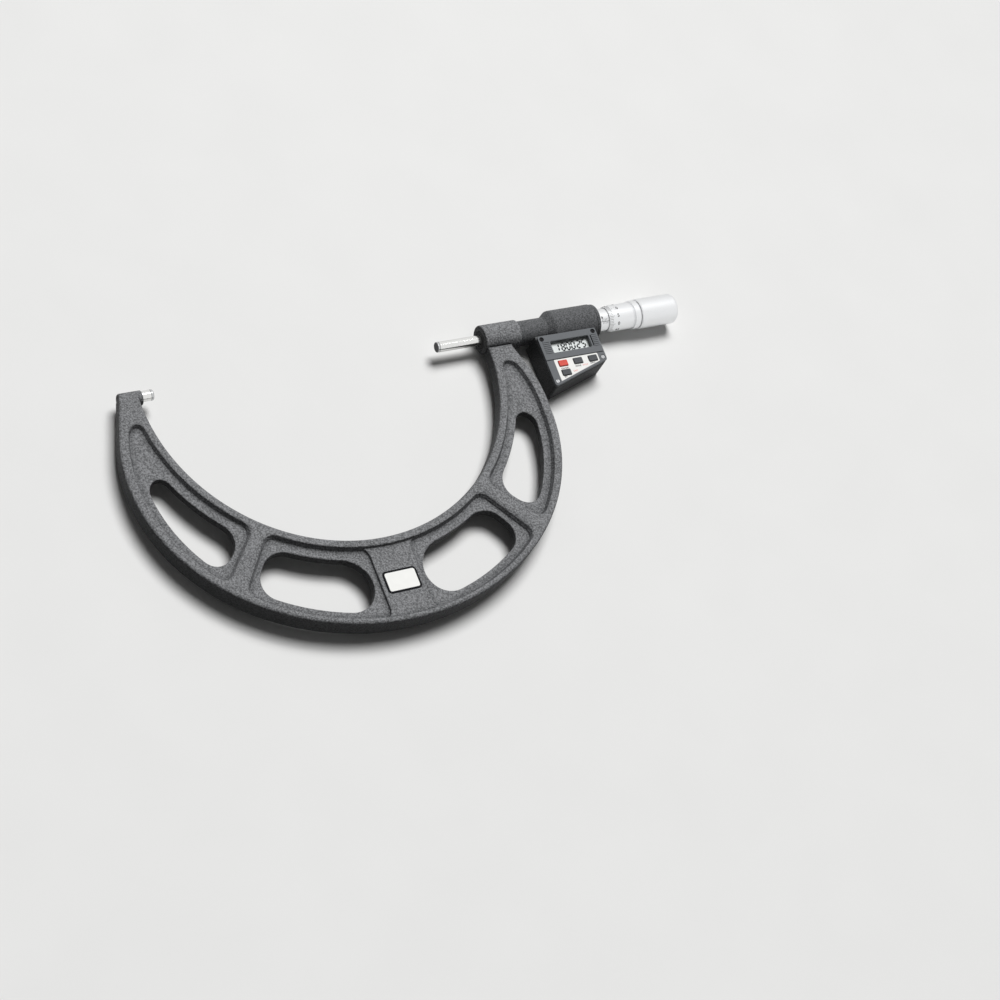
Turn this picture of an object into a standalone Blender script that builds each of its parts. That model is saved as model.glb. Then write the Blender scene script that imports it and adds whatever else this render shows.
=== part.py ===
"""Outside micrometer with a digital display, for 175 to 200 mm work, lying on its back.

Metres. The origin is the centre of the anvil's measuring face, +X runs along the spindle
towards the thimble, the bow of the frame hangs towards -Y and the display faces +Z.
"""

import math

import bmesh
import bpy
from mathutils import Matrix, Vector

for old in list(bpy.data.objects):
    bpy.data.objects.remove(old, do_unlink=True)

# Fits between pieces
SEAT_GAP = 0.0003
RUN_GAP = 0.0003
BRAZE_GAP = 0.0001
CUT_OVERRUN = 0.0020

# Measuring range, and how far the instrument rests open
LEAST_READING = 0.175
TRAVEL = 0.025
CLOSING_TRAVEL = 0.005025
READING = LEAST_READING + CLOSING_TRAVEL
OPENING_TRAVEL = TRAVEL - CLOSING_TRAVEL

# Frame casting: a throat as wide as the range needs, inside an elliptical bow
ANVIL_REACH = 0.0097
SPINDLE_REACH_OPEN = 0.0100
HUB_PROUD = 0.0009
THROAT_DROP = 0.0055
ARM_WIDTH = 0.0233
BOW_WIDTH = 0.0522
BOW_DROP = 0.0540
ARM_STRAIGHT_DROP = 0.0250
SHORT_ARM_DROP = 0.0080
ARM_SPREAD = 0.0032
ARM_SPREAD_DROP = 0.0550
ARM_SPREAD_WIDTH = 0.0200
FRAME_THICK_AT_BOW = 0.0150
FRAME_THICK_AT_ARMS = 0.0098
WEB_THICK = 0.0066
PAD_THICK = 0.0108
RIM_EDGE_RADIUS = 0.0018
RIM_CHAMFER = 0.0006
WALL_DRAFT = 0.0012
INNER_RIM_WIDTH = 0.0048
OUTER_RIM_WIDTH_AT_SIDES = 0.0056
OUTER_RIM_WIDTH_AT_BOTTOM = 0.0032
ARM_POCKET_TOP_DROP = 0.0188
SPOKE_ANGLE = math.radians(52.5)
SPOKE_WIDTH = 0.0080
POCKET_CORNER = 0.0032
POCKET_TOP_CORNER = 0.0042
WINDOW_INNER_MARGIN = 0.0112
WINDOW_OUTER_MARGIN_AT_SIDES = 0.0111
WINDOW_OUTER_MARGIN_AT_BOTTOM = 0.0087
WINDOW_TOP_DROP = 0.0520
WINDOW_SPOKE_MARGIN = 0.0040
WINDOW_PAD_MARGIN = 0.0011
WINDOW_CORNER = 0.0120
WINDOW_PAD_CORNER = 0.0160
WINDOW_TOP_CORNER = 0.0058
WINDOW_CHAMFER = 0.0005
PAD_WIDTH = 0.0258
PAD_GROOVE = 0.0008
PAD_CORNER = 0.0025
PAD_CHAMFER = 0.0006
HUB_FACE_X = READING + OPENING_TRAVEL + SPINDLE_REACH_OPEN
THROAT_RADIUS = (ANVIL_REACH + HUB_FACE_X + HUB_PROUD) / 2
MID_X = THROAT_RADIUS - ANVIL_REACH
THROAT_BOTTOM = THROAT_DROP + THROAT_RADIUS
BOW_HALF_WIDTH = THROAT_RADIUS + ARM_WIDTH
BOW_BOTTOM = THROAT_BOTTOM + BOW_WIDTH
BOW_DEPTH = BOW_BOTTOM - BOW_DROP

# Name plate on the pad
PLATE_WIDTH = 0.0197
PLATE_HEIGHT = 0.0132
PLATE_THICK = 0.0006
PLATE_CORNER = 0.0020
PLATE_BELOW_THROAT = 0.0275
PLATE_RECESS = 0.0006
PLATE_DROP = THROAT_BOTTOM + PLATE_BELOW_THROAT

# Anvil and spindle
SPINDLE_RADIUS = 0.003175
TIP_LENGTH = 0.0015
TIP_CHAMFER = 0.0003
ANVIL_BURIED = 0.0085
ANVIL_BOSS_RADIUS = 0.0047
ANVIL_BOSS_DROP = 0.0007
ANVIL_BOSS_REACH = 0.0033
ANVIL_BOSS_LENGTH = 0.0142
ANVIL_BOSS_ROUND = 0.0012

# Hub of the frame, with the spindle's guide bush and wiper
HUB_RADIUS = 0.0088
HUB_LENGTH = 0.0245
HUB_CHAMFER = 0.0008
WIPER_INSET = 0.0003
WIPER_LENGTH = 0.0016
BUSH_RADIUS = 0.0052
BUSH_LENGTH = 0.0143
HUB_END_X = HUB_FACE_X + HUB_LENGTH
WIPER_X = HUB_FACE_X + WIPER_INSET
BUSH_X = WIPER_X + WIPER_LENGTH + SEAT_GAP
BUSH_END_X = BUSH_X + BUSH_LENGTH

# Head casing: neck, cone and barrel round the spindle, with the display box on one side
NECK_RADIUS = 0.0076
NECK_LENGTH = 0.0187
NECK_CLEARANCE = 0.0010
CONE_LENGTH = 0.0045
BARREL_RADIUS = 0.0110
BARREL_OVERHANG = 0.0033
BARREL_WALL = 0.0020
BARREL_FLOOR = 0.0030
BARREL_CHAMFER = 0.0005
NECK_X = HUB_END_X + SEAT_GAP
SPIGOT_X = BUSH_END_X + SEAT_GAP
CONE_X = NECK_X + NECK_LENGTH
BARREL_X = CONE_X + CONE_LENGTH
BARREL_BORE = BARREL_RADIUS - BARREL_WALL
BARREL_FLOOR_X = BARREL_X + BARREL_FLOOR
NECK_BORE = SPINDLE_RADIUS + NECK_CLEARANCE

# Display box and its tilted front
PANEL_TILT = math.radians(3.0)
PANEL_SETBACK = 0.0083
PANEL_WIDTH = 0.0411
PANEL_TOP_DROP = 0.0083
PANEL_TOP_Z = 0.0080
PANEL_THICK = 0.0020
PANEL_CORNER = 0.0016
PANEL_EDGE = 0.0004
BEZEL_HEIGHT = 0.0167
KEYPAD_LEFT_HEIGHT = 0.0180
KEYPAD_RIGHT_HEIGHT = 0.0059
BOX_TOP_DROP = 0.0070
BOX_BACK_Z = -0.0112
BOX_WALL = 0.0012
BOX_BACK_EDGE = 0.0012
PANEL_LEFT_X = NECK_X + PANEL_SETBACK
PANEL_LEFT_HEIGHT = BEZEL_HEIGHT + KEYPAD_LEFT_HEIGHT
PANEL_RIGHT_HEIGHT = BEZEL_HEIGHT + KEYPAD_RIGHT_HEIGHT
BARREL_END_X = PANEL_LEFT_X + PANEL_WIDTH + BARREL_OVERHANG

# Display window and glass, with the bezel's margins round the opening
OPENING_LEFT = 0.0074
OPENING_RIGHT_MARGIN = 0.0067
OPENING_TOP = 0.0045
OPENING_BOTTOM_MARGIN = 0.0043
OPENING_CORNER = 0.0006
WINDOW_LIP = 0.0010
WINDOW_THICK = 0.0008
LCD_THICK = 0.0020
STRIP_THICK = 0.0012
STRIP_WIDTH = 0.0018
BOARD_THICK = 0.0012
BOARD_MARGIN = 0.0010
BATTERY_RADIUS = 0.0058
BATTERY_THICK = 0.0042
BATTERY_LEFT = 0.0160
BATTERY_TOP = 0.0150
CLIP_THICK = 0.0005
CLIP_WIDTH = 0.0070

# Keypad: margins round the white plate, and round the two rows of keys on it
KEY_PLATE_LEFT = 0.0049
KEY_PLATE_RIGHT_MARGIN = 0.0055
KEY_PLATE_MARGIN = 0.0015
KEY_PLATE_TOP_MARGIN = 0.0005
KEY_PLATE_THICK = 0.0005
KEY_PLATE_PROUD = 0.0001
KEY_PLATE_CORNER = 0.0004
KEY_FIRST_LEFT = 0.0103
KEY_LAST_RIGHT_MARGIN = 0.0097
KEY_TOP_MARGIN = 0.0017
KEY_BOTTOM_MARGIN = 0.0023
KEY_ROW_GAP = 0.0025
KEY_WIDTH = 0.0060
KEY_CORNER = 0.0005
KEY_EDGE = 0.0004
KEY_PROUD = 0.0009
KEY_FLANGE = 0.0006
KEY_FLANGE_LIP = 0.0005
KEY_TRAVEL = 0.0004
KEY_STOP_GAP = 0.0002
MAT_DOME_RADIUS = 0.0014
MAT_THICK = 0.0009

# Case screws
SCREW_INSET_X = 0.0024
SCREW_INSET_TOP = 0.0023
SCREW_INSET_BOTTOM = 0.0028
SCREW_HEAD_RADIUS = 0.0012
SCREW_HEAD_THICK = 0.0006
SCREW_SHANK_RADIUS = 0.0006
SCREW_LENGTH = 0.0050
SCREW_SINK_TOP = 0.0006
SCREW_SINK_BOTTOM = 0.0001
SCREW_SLOT_WIDTH = 0.0004
SCREW_SLOT_DEPTH = 0.0003
BOSS_RADIUS = 0.0023
BOSS_SINK = 0.0003

# Rotary encoder
STATOR_THICK = 0.0015
ENCODER_GAP = 0.0006
ROTOR_THICK = 0.0010
ROTOR_RIM_GAP = 0.0008
ROTOR_HUB_WALL = 0.0012
ROTOR_FLANGE_RADIUS = 0.0062
ROTOR_FLANGE_THICK = 0.0010
ROTOR_BUSH_LENGTH = 0.0050
ROTOR_COLLAR_THICK = 0.0008
ROTOR_COLLAR_RADIUS = 0.0062
ROTOR_TAIL = 0.0046
DRIVE_KEY_WIDTH = 0.0010
DRIVE_KEY_LENGTH = 0.0026
DRIVE_KEY_DEPTH = 0.0006
KEYWAY_MARGIN = 0.0010
STATOR_X = BARREL_FLOOR_X + SEAT_GAP
ROTOR_X = STATOR_X + STATOR_THICK + ENCODER_GAP
ROTOR_FLANGE_X = ROTOR_X + ROTOR_THICK + SEAT_GAP
ROTOR_BUSH_X = ROTOR_FLANGE_X + ROTOR_FLANGE_THICK + RUN_GAP
ROTOR_COLLAR_X = ROTOR_BUSH_X + ROTOR_BUSH_LENGTH + RUN_GAP
ROTOR_HUB_END_X = ROTOR_COLLAR_X + ROTOR_COLLAR_THICK + ROTOR_TAIL
ROTOR_HUB_BORE = SPINDLE_RADIUS + RUN_GAP
ROTOR_HUB_RADIUS = ROTOR_HUB_BORE + ROTOR_HUB_WALL
DRIVE_KEY_X = ROTOR_HUB_END_X - DRIVE_KEY_LENGTH - KEYWAY_MARGIN
KEYWAY_X = DRIVE_KEY_X - OPENING_TRAVEL - KEYWAY_MARGIN
KEYWAY_END_X = DRIVE_KEY_X + DRIVE_KEY_LENGTH + CLOSING_TRAVEL + KEYWAY_MARGIN
KEYWAY_FLOOR = SPINDLE_RADIUS - DRIVE_KEY_DEPTH - RUN_GAP

# Sleeve, spindle nut and end cap of the barrel
SLEEVE_RADIUS = 0.0071
SLEEVE_WALL = 0.0014
SLEEVE_BURIED = 0.0075
SLEEVE_SPARE = 0.0067
END_CAP_RADIUS = 0.0106
END_CAP_THICK = 0.0022
END_CAP_EDGE = 0.0004
END_CAP_SPIGOT = 0.0060
THREAD_RADIUS = 0.0039
THREAD_CHAMFER = 0.0006
NUT_LENGTH = 0.0200
NUT_PROUD = 0.0038
ADJUSTER_LENGTH = 0.0030
ADJUSTER_RADIUS = 0.0068
END_CAP_X = BARREL_END_X + SEAT_GAP
END_CAP_END_X = END_CAP_X + END_CAP_THICK
SLEEVE_X = BARREL_END_X - SLEEVE_BURIED
SLEEVE_END_X = BARREL_END_X + TRAVEL + SLEEVE_SPARE
SLEEVE_BORE = SLEEVE_RADIUS - SLEEVE_WALL
NUT_RADIUS = SLEEVE_BORE - SEAT_GAP
NUT_END_X = SLEEVE_END_X + NUT_PROUD
NUT_X = NUT_END_X - NUT_LENGTH
ADJUSTER_X = SLEEVE_END_X + SEAT_GAP
THREAD_X = NUT_X - OPENING_TRAVEL
THREAD_END_X = NUT_END_X + CLOSING_TRAVEL

# Thimble, and the friction sleeve on its end
SLEEVE_IN_VIEW_CLOSED = 0.002875
THIMBLE_RADIUS = 0.0083
THIMBLE_EDGE_RADIUS = 0.0077
THIMBLE_BEVEL = 0.0038
THIMBLE_LENGTH = 0.0178
COLLAR_RADIUS = 0.0090
COLLAR_LENGTH = 0.0041
COLLAR_EDGE = 0.0003
GROOVE_WIDTH = 0.0007
THIMBLE_TAIL_RADIUS = 0.0080
THIMBLE_SPARE = 0.003375
THIMBLE_END_WALL = 0.0086
SEAT_RADIUS = 0.0030
FRICTION_RADIUS = 0.0094
FRICTION_LEAD = 0.0005
FRICTION_END_WALL = 0.0060
FRICTION_ROUND = 0.0025
SPRING_SPACE = 0.0022
SPRING_THICK = 0.0004
SPRING_WAVE = 0.0004
SPRING_WAVES = 3
SPRING_OUTER = 0.0074
SPRING_INNER = 0.0042
END_SCREW_RADIUS = 0.0015
END_SCREW_HEAD_RADIUS = 0.0037
END_SCREW_HEAD_THICK = 0.0020
END_SCREW_DEPTH = 0.0080
END_SCREW_SINK = 0.0006
END_SCREW_SLOT_WIDTH = 0.0009
END_SCREW_SLOT_DEPTH = 0.0008
THIMBLE_X = END_CAP_END_X + SLEEVE_IN_VIEW_CLOSED + CLOSING_TRAVEL
THIMBLE_BORE = SLEEVE_RADIUS + RUN_GAP
COLLAR_X = THIMBLE_X + THIMBLE_LENGTH + GROOVE_WIDTH
COLLAR_END_X = COLLAR_X + COLLAR_LENGTH
FRICTION_X = COLLAR_END_X + GROOVE_WIDTH
THIMBLE_WALL_X = THREAD_END_X + THIMBLE_SPARE
THIMBLE_END_X = THIMBLE_WALL_X + THIMBLE_END_WALL
SEAT_END_X = THIMBLE_END_X - SEAT_GAP
FRICTION_WALL_X = THIMBLE_END_X + SPRING_SPACE
FRICTION_END_X = FRICTION_WALL_X + FRICTION_END_WALL
END_SCREW_HEAD_X = FRICTION_END_X - END_SCREW_SINK - END_SCREW_HEAD_THICK

# Mesh fineness
ROUND_STEPS = 36
SMALL_STEPS = 24
CORNER_STEPS = 4
EDGE_STEPS = 2
ARM_STEPS = 4
BOW_STEPS = 54
THROAT_STEPS = 42
SIDE_STEP = 0.0065
SAME_PLACE = 0.0001
SMOOTH_ANGLE = math.radians(35)

# Finishes: sRGB colour, roughness and metallic value
FINISHES = {
    "wrinkle_enamel": ("#6F7173", 0.62, 0.0),
    "ground_steel": ("#CFCFCD", 0.22, 1.0),
    "satin_chrome": ("#CFD0D1", 0.38, 1.0),
    "carbide": ("#646567", 0.30, 1.0),
    "casing_grey": ("#58595B", 0.60, 0.0),
    "panel_grey": ("#686A6D", 0.55, 0.0),
    "white_plate": ("#EBEBE8", 0.45, 0.0),
    "key_grey": ("#4D4F52", 0.50, 0.0),
    "key_red": ("#D25950", 0.50, 0.0),
    "clear_window": ("#DDE3E4", 0.08, 0.0),
    "lcd_glass": ("#DCE3E1", 0.15, 0.0),
    "black_steel": ("#1A1A1B", 0.40, 1.0),
    "bronze": ("#AC7C3E", 0.40, 1.0),
    "rubber": ("#1F1F20", 0.80, 0.0),
    "board_green": ("#2F5B3C", 0.50, 0.0),
}


def linear(channel):
    """One sRGB channel, 0 to 1, as linear light."""
    return channel / 12.92 if channel <= 0.04045 else ((channel + 0.055) / 1.055) ** 2.4


def finish(name):
    """The material of this finish, made the first time it is asked for."""
    if name in bpy.data.materials:
        return bpy.data.materials[name]
    colour, roughness, metallic = FINISHES[name]
    channels = [linear(int(colour[i : i + 2], 16) / 255) for i in (1, 3, 5)]
    made = bpy.data.materials.new(name)
    made.use_nodes = True
    shader = made.node_tree.nodes["Principled BSDF"]
    shader.inputs["Base Color"].default_value = (*channels, 1.0)
    shader.inputs["Roughness"].default_value = roughness
    shader.inputs["Metallic"].default_value = metallic
    return made


def add_piece(name, bm, finish_name, parent=None, location=(0.0, 0.0, 0.0)):
    """An object from a bmesh, with its faces turned outwards and its round faces smooth."""
    bmesh.ops.remove_doubles(bm, verts=bm.verts, dist=1e-7)
    bmesh.ops.recalc_face_normals(bm, faces=bm.faces)
    mesh = bpy.data.meshes.new(name)
    bm.to_mesh(mesh)
    bm.free()
    mesh.shade_smooth()
    mesh.set_sharp_from_angle(angle=SMOOTH_ANGLE)
    piece = bpy.data.objects.new(name, mesh)
    bpy.context.scene.collection.objects.link(piece)
    piece.data.materials.append(finish(finish_name))
    piece.parent = parent
    piece.location = location
    return piece


def combine(piece, other, operation):
    """Adds a Boolean that cuts the other shape from the piece, or joins it on."""
    other.hide_render = True
    other.display_type = "WIRE"
    step = piece.modifiers.new(other.name, "BOOLEAN")
    step.operation = operation
    step.solver = "EXACT"
    step.object = other


def spun(profile, steps):
    """An (x, radius) profile spun about the X axis, open only where it meets the axis."""
    bm = bmesh.new()
    points = [bm.verts.new((x, 0.0, radius)) for x, radius in profile]
    edges = [bm.edges.new(pair) for pair in zip(points, points[1:])]
    if profile[0][1] > 0.0:
        edges.append(bm.edges.new((points[-1], points[0])))
    bmesh.ops.spin(
        bm,
        geom=points + edges,
        cent=(0.0, 0.0, 0.0),
        axis=(1.0, 0.0, 0.0),
        angle=math.tau,
        steps=steps,
        use_merge=True,
    )
    bmesh.ops.remove_doubles(bm, verts=bm.verts, dist=1e-7)
    middles = [vert for vert in bm.verts if vert.co.yz.length < 1e-7]
    bmesh.ops.dissolve_verts(bm, verts=middles)
    return bm


def turned(name, profile, finish_name, steps=ROUND_STEPS):
    """A turned piece on the spindle axis."""
    return add_piece(name, spun(profile, steps), finish_name)


def upright(name, profile, finish_name, parent, location, steps=SMALL_STEPS):
    """A turned piece on an axis through the panel, from a (height, radius) profile."""
    bm = spun(profile, steps)
    bmesh.ops.rotate(bm, verts=bm.verts, matrix=Matrix.Rotation(-math.pi / 2, 3, "Y"))
    return add_piece(name, bm, finish_name, parent, location)


def tube(start, end, outer, inner):
    """The profile of a plain ring or tube."""
    return [(start, inner), (start, outer), (end, outer), (end, inner)]


def rod(start, end, radius):
    """The profile of a plain solid cylinder."""
    return [(start, 0.0), (start, radius), (end, radius), (end, 0.0)]


def block(name, low, high, finish_name, parent=None):
    """A plain block between two opposite corners."""
    bm = bmesh.new()
    bmesh.ops.create_cube(bm, size=1.0)
    low, high = Vector(low), Vector(high)
    bmesh.ops.scale(bm, vec=high - low, verts=bm.verts)
    bmesh.ops.translate(bm, vec=(low + high) / 2, verts=bm.verts)
    return add_piece(name, bm, finish_name, parent)


def loft(bm, loops):
    """Faces between closed loops of equal length, one after another."""
    for lower, upper in zip(loops, loops[1:]):
        count = len(lower)
        for i in range(count):
            j = (i + 1) % count
            bm.faces.new((lower[i], lower[j], upper[j], upper[i]))


def cap(bm, loops):
    """A flat face inside the first loop, with the other loops as holes in it."""
    edges = []
    for loop in loops:
        edges += [bm.edges.get((loop[i - 1], loop[i])) for i in range(len(loop))]
    bmesh.ops.triangle_fill(bm, use_beauty=True, edges=edges)


def ring(bm, outline, inset, height):
    """A loop of vertices on a counter-clockwise outline, moved inwards, at one height."""
    loop = []
    count = len(outline)
    for i in range(count):
        before = (outline[i] - outline[i - 1]).normalized()
        after = (outline[(i + 1) % count] - outline[i]).normalized()
        left_before = Vector((-before.y, before.x))
        left_after = Vector((-after.y, after.x))
        mitre = (left_before + left_after) / (1.0 + left_before.dot(left_after))
        place = outline[i] + mitre * inset
        loop.append(bm.verts.new((place.x, place.y, height)))
    return loop


def rounded(corners, radii):
    """A counter-clockwise polygon, each corner turned by an arc of its own radius or left sharp."""
    outline = []
    count = len(corners)
    for i in range(count):
        corner = Vector(corners[i])
        if not radii[i]:
            outline.append(corner)
            continue
        to_last = (Vector(corners[i - 1]) - corner).normalized()
        to_next = (Vector(corners[(i + 1) % count]) - corner).normalized()
        half = to_last.angle(to_next) / 2
        centre = corner + (to_last + to_next).normalized() * (radii[i] / math.sin(half))
        first = corner + to_last * (radii[i] / math.tan(half)) - centre
        for step in range(CORNER_STEPS + 1):
            turn = (math.pi - 2 * half) * step / CORNER_STEPS
            outline.append(centre + Matrix.Rotation(turn, 2) @ first)
    return outline


def rectangle(left, bottom, right, top, radius):
    """A rectangle with round corners, counter-clockwise."""
    corners = [(left, bottom), (right, bottom), (right, top), (left, top)]
    return rounded(corners, [radius] * 4)


def disc(across, up, radius):
    """A round outline, counter-clockwise."""
    turns = [math.tau * step / SMALL_STEPS for step in range(SMALL_STEPS)]
    return [Vector((across + radius * math.cos(t), up + radius * math.sin(t))) for t in turns]


def plate(name, outline, low, high, finish_name, parent=None, holes=(), edge=0.0):
    """A flat plate between two heights, with holes right through and a chamfer round its top."""
    bm = bmesh.new()
    sides = [[ring(bm, outline, 0.0, low)]]
    if edge:
        sides[0].append(ring(bm, outline, 0.0, high - edge))
    sides[0].append(ring(bm, outline, edge, high))
    for hole in holes:
        sides.append([ring(bm, hole, 0.0, low), ring(bm, hole, 0.0, high)])
    for side in sides:
        loft(bm, side)
    cap(bm, [side[0] for side in sides])
    cap(bm, [side[-1] for side in sides])
    return add_piece(name, bm, finish_name, parent)


def bow_reach(angle, half_width, depth):
    """Distance from the throat's centre to a bow ellipse, at an angle down from the anvil arm."""
    drop = BOW_DROP - THROAT_DROP
    cosine, sine = math.cos(angle), math.sin(angle)
    square = (cosine / half_width) ** 2 + (sine / depth) ** 2
    lean = drop * sine / depth**2
    rest = (drop / depth) ** 2 - 1.0
    return (lean + math.sqrt(lean**2 - square * rest)) / square


def bow_point(angle, reach):
    """The point at an angle down from the anvil arm and a distance from the throat's centre."""
    return Vector((MID_X - reach * math.cos(angle), -THROAT_DROP - reach * math.sin(angle)))


def bow_strip(first, last, inner, outer, first_corner, last_corner):
    """Outline of a stretch of the bow between two angles, with rounded corners.

    inner is a radius about the throat's centre, and outer the half width and depth of an ellipse.
    """

    def reach(angle, share):
        return inner + share * (bow_reach(angle, *outer) - inner)

    def corner(end, inward, size, share):
        depth = min(0.5, size / (bow_reach(end, *outer) - inner))
        points = []
        for step in range(CORNER_STEPS + 1):
            turn = math.pi / 2 * step / CORNER_STEPS
            angle = end + inward * size * (1.0 - math.sin(turn)) / reach(end, share)
            across = abs(share - depth * (1.0 - math.cos(turn)))
            points.append(bow_point(angle, reach(angle, across)))
        return points

    def side(share):
        start = first + first_corner / reach(first, share)
        stop = last - last_corner / reach(last, share)
        count = max(2, round((stop - start) * inner / SIDE_STEP))
        angles = [start + (stop - start) * i / count for i in range(1, count)]
        return [bow_point(angle, reach(angle, share)) for angle in angles]

    points = (
        corner(first, 1.0, first_corner, 1.0)[::-1]
        + side(1.0)
        + corner(last, -1.0, last_corner, 1.0)
        + corner(last, -1.0, last_corner, 0.0)[::-1]
        + side(0.0)[::-1]
        + corner(first, 1.0, first_corner, 0.0)
    )
    return [p for i, p in enumerate(points) if (p - points[i - 1]).length > SAME_PLACE]


def mirrored(outline):
    """The same outline on the spindle's side of the frame, still counter-clockwise."""
    return [Vector((2 * MID_X - point.x, point.y)) for point in reversed(outline)]


def spread(outline):
    """Widens the spindle's arm towards the hub, more at its outer edge than at the throat."""
    placed = []
    for point in outline:
        share = max(0.0, 1.0 + point.y / ARM_SPREAD_DROP)
        reach = max(0.0, THROAT_RADIUS**2 - (point.y + THROAT_DROP) ** 2)
        across = max(0.0, point.x - MID_X - math.sqrt(reach)) / ARM_SPREAD_WIDTH
        placed.append(Vector((point.x + ARM_SPREAD * share * across, point.y)))
    return placed


def frame_outline():
    """The frame's outer edge, down the anvil arm and round the bow, then back along the throat.

    The spindle's arm stops short under the hub.
    """
    rise = (BOW_DROP - ARM_STRAIGHT_DROP) / BOW_DEPTH
    start = math.asin(rise)
    tangent_x = BOW_HALF_WIDTH * math.cos(start)
    lean = BOW_HALF_WIDTH * rise / (BOW_DEPTH * math.cos(start))
    arm = []
    for step in range(ARM_STEPS):
        drop = ARM_STRAIGHT_DROP * step / ARM_STEPS
        arm.append(Vector((MID_X - tangent_x + lean * (ARM_STRAIGHT_DROP - drop), -drop)))
    bow = []
    for step in range(BOW_STEPS + 1):
        turn = -start + (math.pi + 2 * start) * step / BOW_STEPS
        across = BOW_HALF_WIDTH * math.cos(turn)
        bow.append(Vector((MID_X - across, -BOW_DROP - BOW_DEPTH * math.sin(turn))))
    short_arm = [point for point in reversed(arm) if point.y < -SHORT_ARM_DROP]
    short_arm.append(Vector((short_arm[-1].x, -SHORT_ARM_DROP)))
    short_arm = [Vector((2 * MID_X - point.x, point.y)) for point in short_arm]
    sweep = math.pi - math.asin((SHORT_ARM_DROP - THROAT_DROP) / THROAT_RADIUS)
    throat = []
    for step in range(THROAT_STEPS + 1):
        throat.append(bow_point(sweep * (1.0 - step / THROAT_STEPS), THROAT_RADIUS))
    throat.append(Vector((MID_X - THROAT_RADIUS, 0.0)))
    return arm + spread(bow + short_arm) + throat


def taper(bm):
    """Thins a shape built at the bow's thickness towards the ends of the arms."""
    for vert in bm.verts:
        gain = FRAME_THICK_AT_BOW - FRAME_THICK_AT_ARMS
        thick = FRAME_THICK_AT_ARMS - gain * vert.co.y / BOW_BOTTOM
        vert.co.z *= thick / FRAME_THICK_AT_BOW


# Outlines of the hollows in the frame. Angles run from the anvil arm, down round the bow.
pocket_inner = THROAT_RADIUS + INNER_RIM_WIDTH
pocket_outer = (BOW_HALF_WIDTH - OUTER_RIM_WIDTH_AT_SIDES, BOW_DEPTH - OUTER_RIM_WIDTH_AT_BOTTOM)
window_inner = THROAT_RADIUS + WINDOW_INNER_MARGIN
window_outer = (
    BOW_HALF_WIDTH - WINDOW_OUTER_MARGIN_AT_SIDES,
    BOW_DEPTH - WINDOW_OUTER_MARGIN_AT_BOTTOM,
)
pad_inset = WALL_DRAFT + PAD_GROOVE
pad_inner = pocket_inner + pad_inset
pad_outer = (pocket_outer[0] - pad_inset, pocket_outer[1] - pad_inset)
pocket_turn = SPOKE_WIDTH / 2 / pocket_inner
window_turn = (SPOKE_WIDTH / 2 + WINDOW_SPOKE_MARGIN) / window_inner
pad_turn = PAD_WIDTH / 2 / pad_inner
arm_pocket = bow_strip(
    math.asin((ARM_POCKET_TOP_DROP - THROAT_DROP) / pocket_inner),
    SPOKE_ANGLE - pocket_turn,
    pocket_inner,
    pocket_outer,
    POCKET_TOP_CORNER,
    POCKET_CORNER,
)
bow_pocket = bow_strip(
    SPOKE_ANGLE + pocket_turn,
    math.pi - SPOKE_ANGLE - pocket_turn,
    pocket_inner,
    pocket_outer,
    POCKET_CORNER,
    POCKET_CORNER,
)
arm_window = bow_strip(
    math.asin((WINDOW_TOP_DROP - THROAT_DROP) / window_inner),
    SPOKE_ANGLE - window_turn,
    window_inner,
    window_outer,
    WINDOW_TOP_CORNER,
    WINDOW_CORNER,
)
bow_window = bow_strip(
    SPOKE_ANGLE + window_turn,
    math.pi / 2 - pad_turn - WINDOW_PAD_MARGIN / window_inner,
    window_inner,
    window_outer,
    WINDOW_CORNER,
    WINDOW_PAD_CORNER,
)
pad_wedge = bow_strip(
    math.pi / 2 - pad_turn, math.pi / 2 + pad_turn, pad_inner, pad_outer, PAD_CORNER, PAD_CORNER
)
throat_centre = Vector((MID_X, -THROAT_DROP))
pad = []
for point in pad_wedge:
    narrowing = pad_inner / (point - throat_centre).length
    pad.append(Vector((MID_X + (point.x - MID_X) * narrowing, point.y)))
name_plate_outline = rectangle(
    MID_X - PLATE_WIDTH / 2,
    -PLATE_DROP - PLATE_HEIGHT / 2,
    MID_X + PLATE_WIDTH / 2,
    -PLATE_DROP + PLATE_HEIGHT / 2,
    PLATE_CORNER,
)

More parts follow.
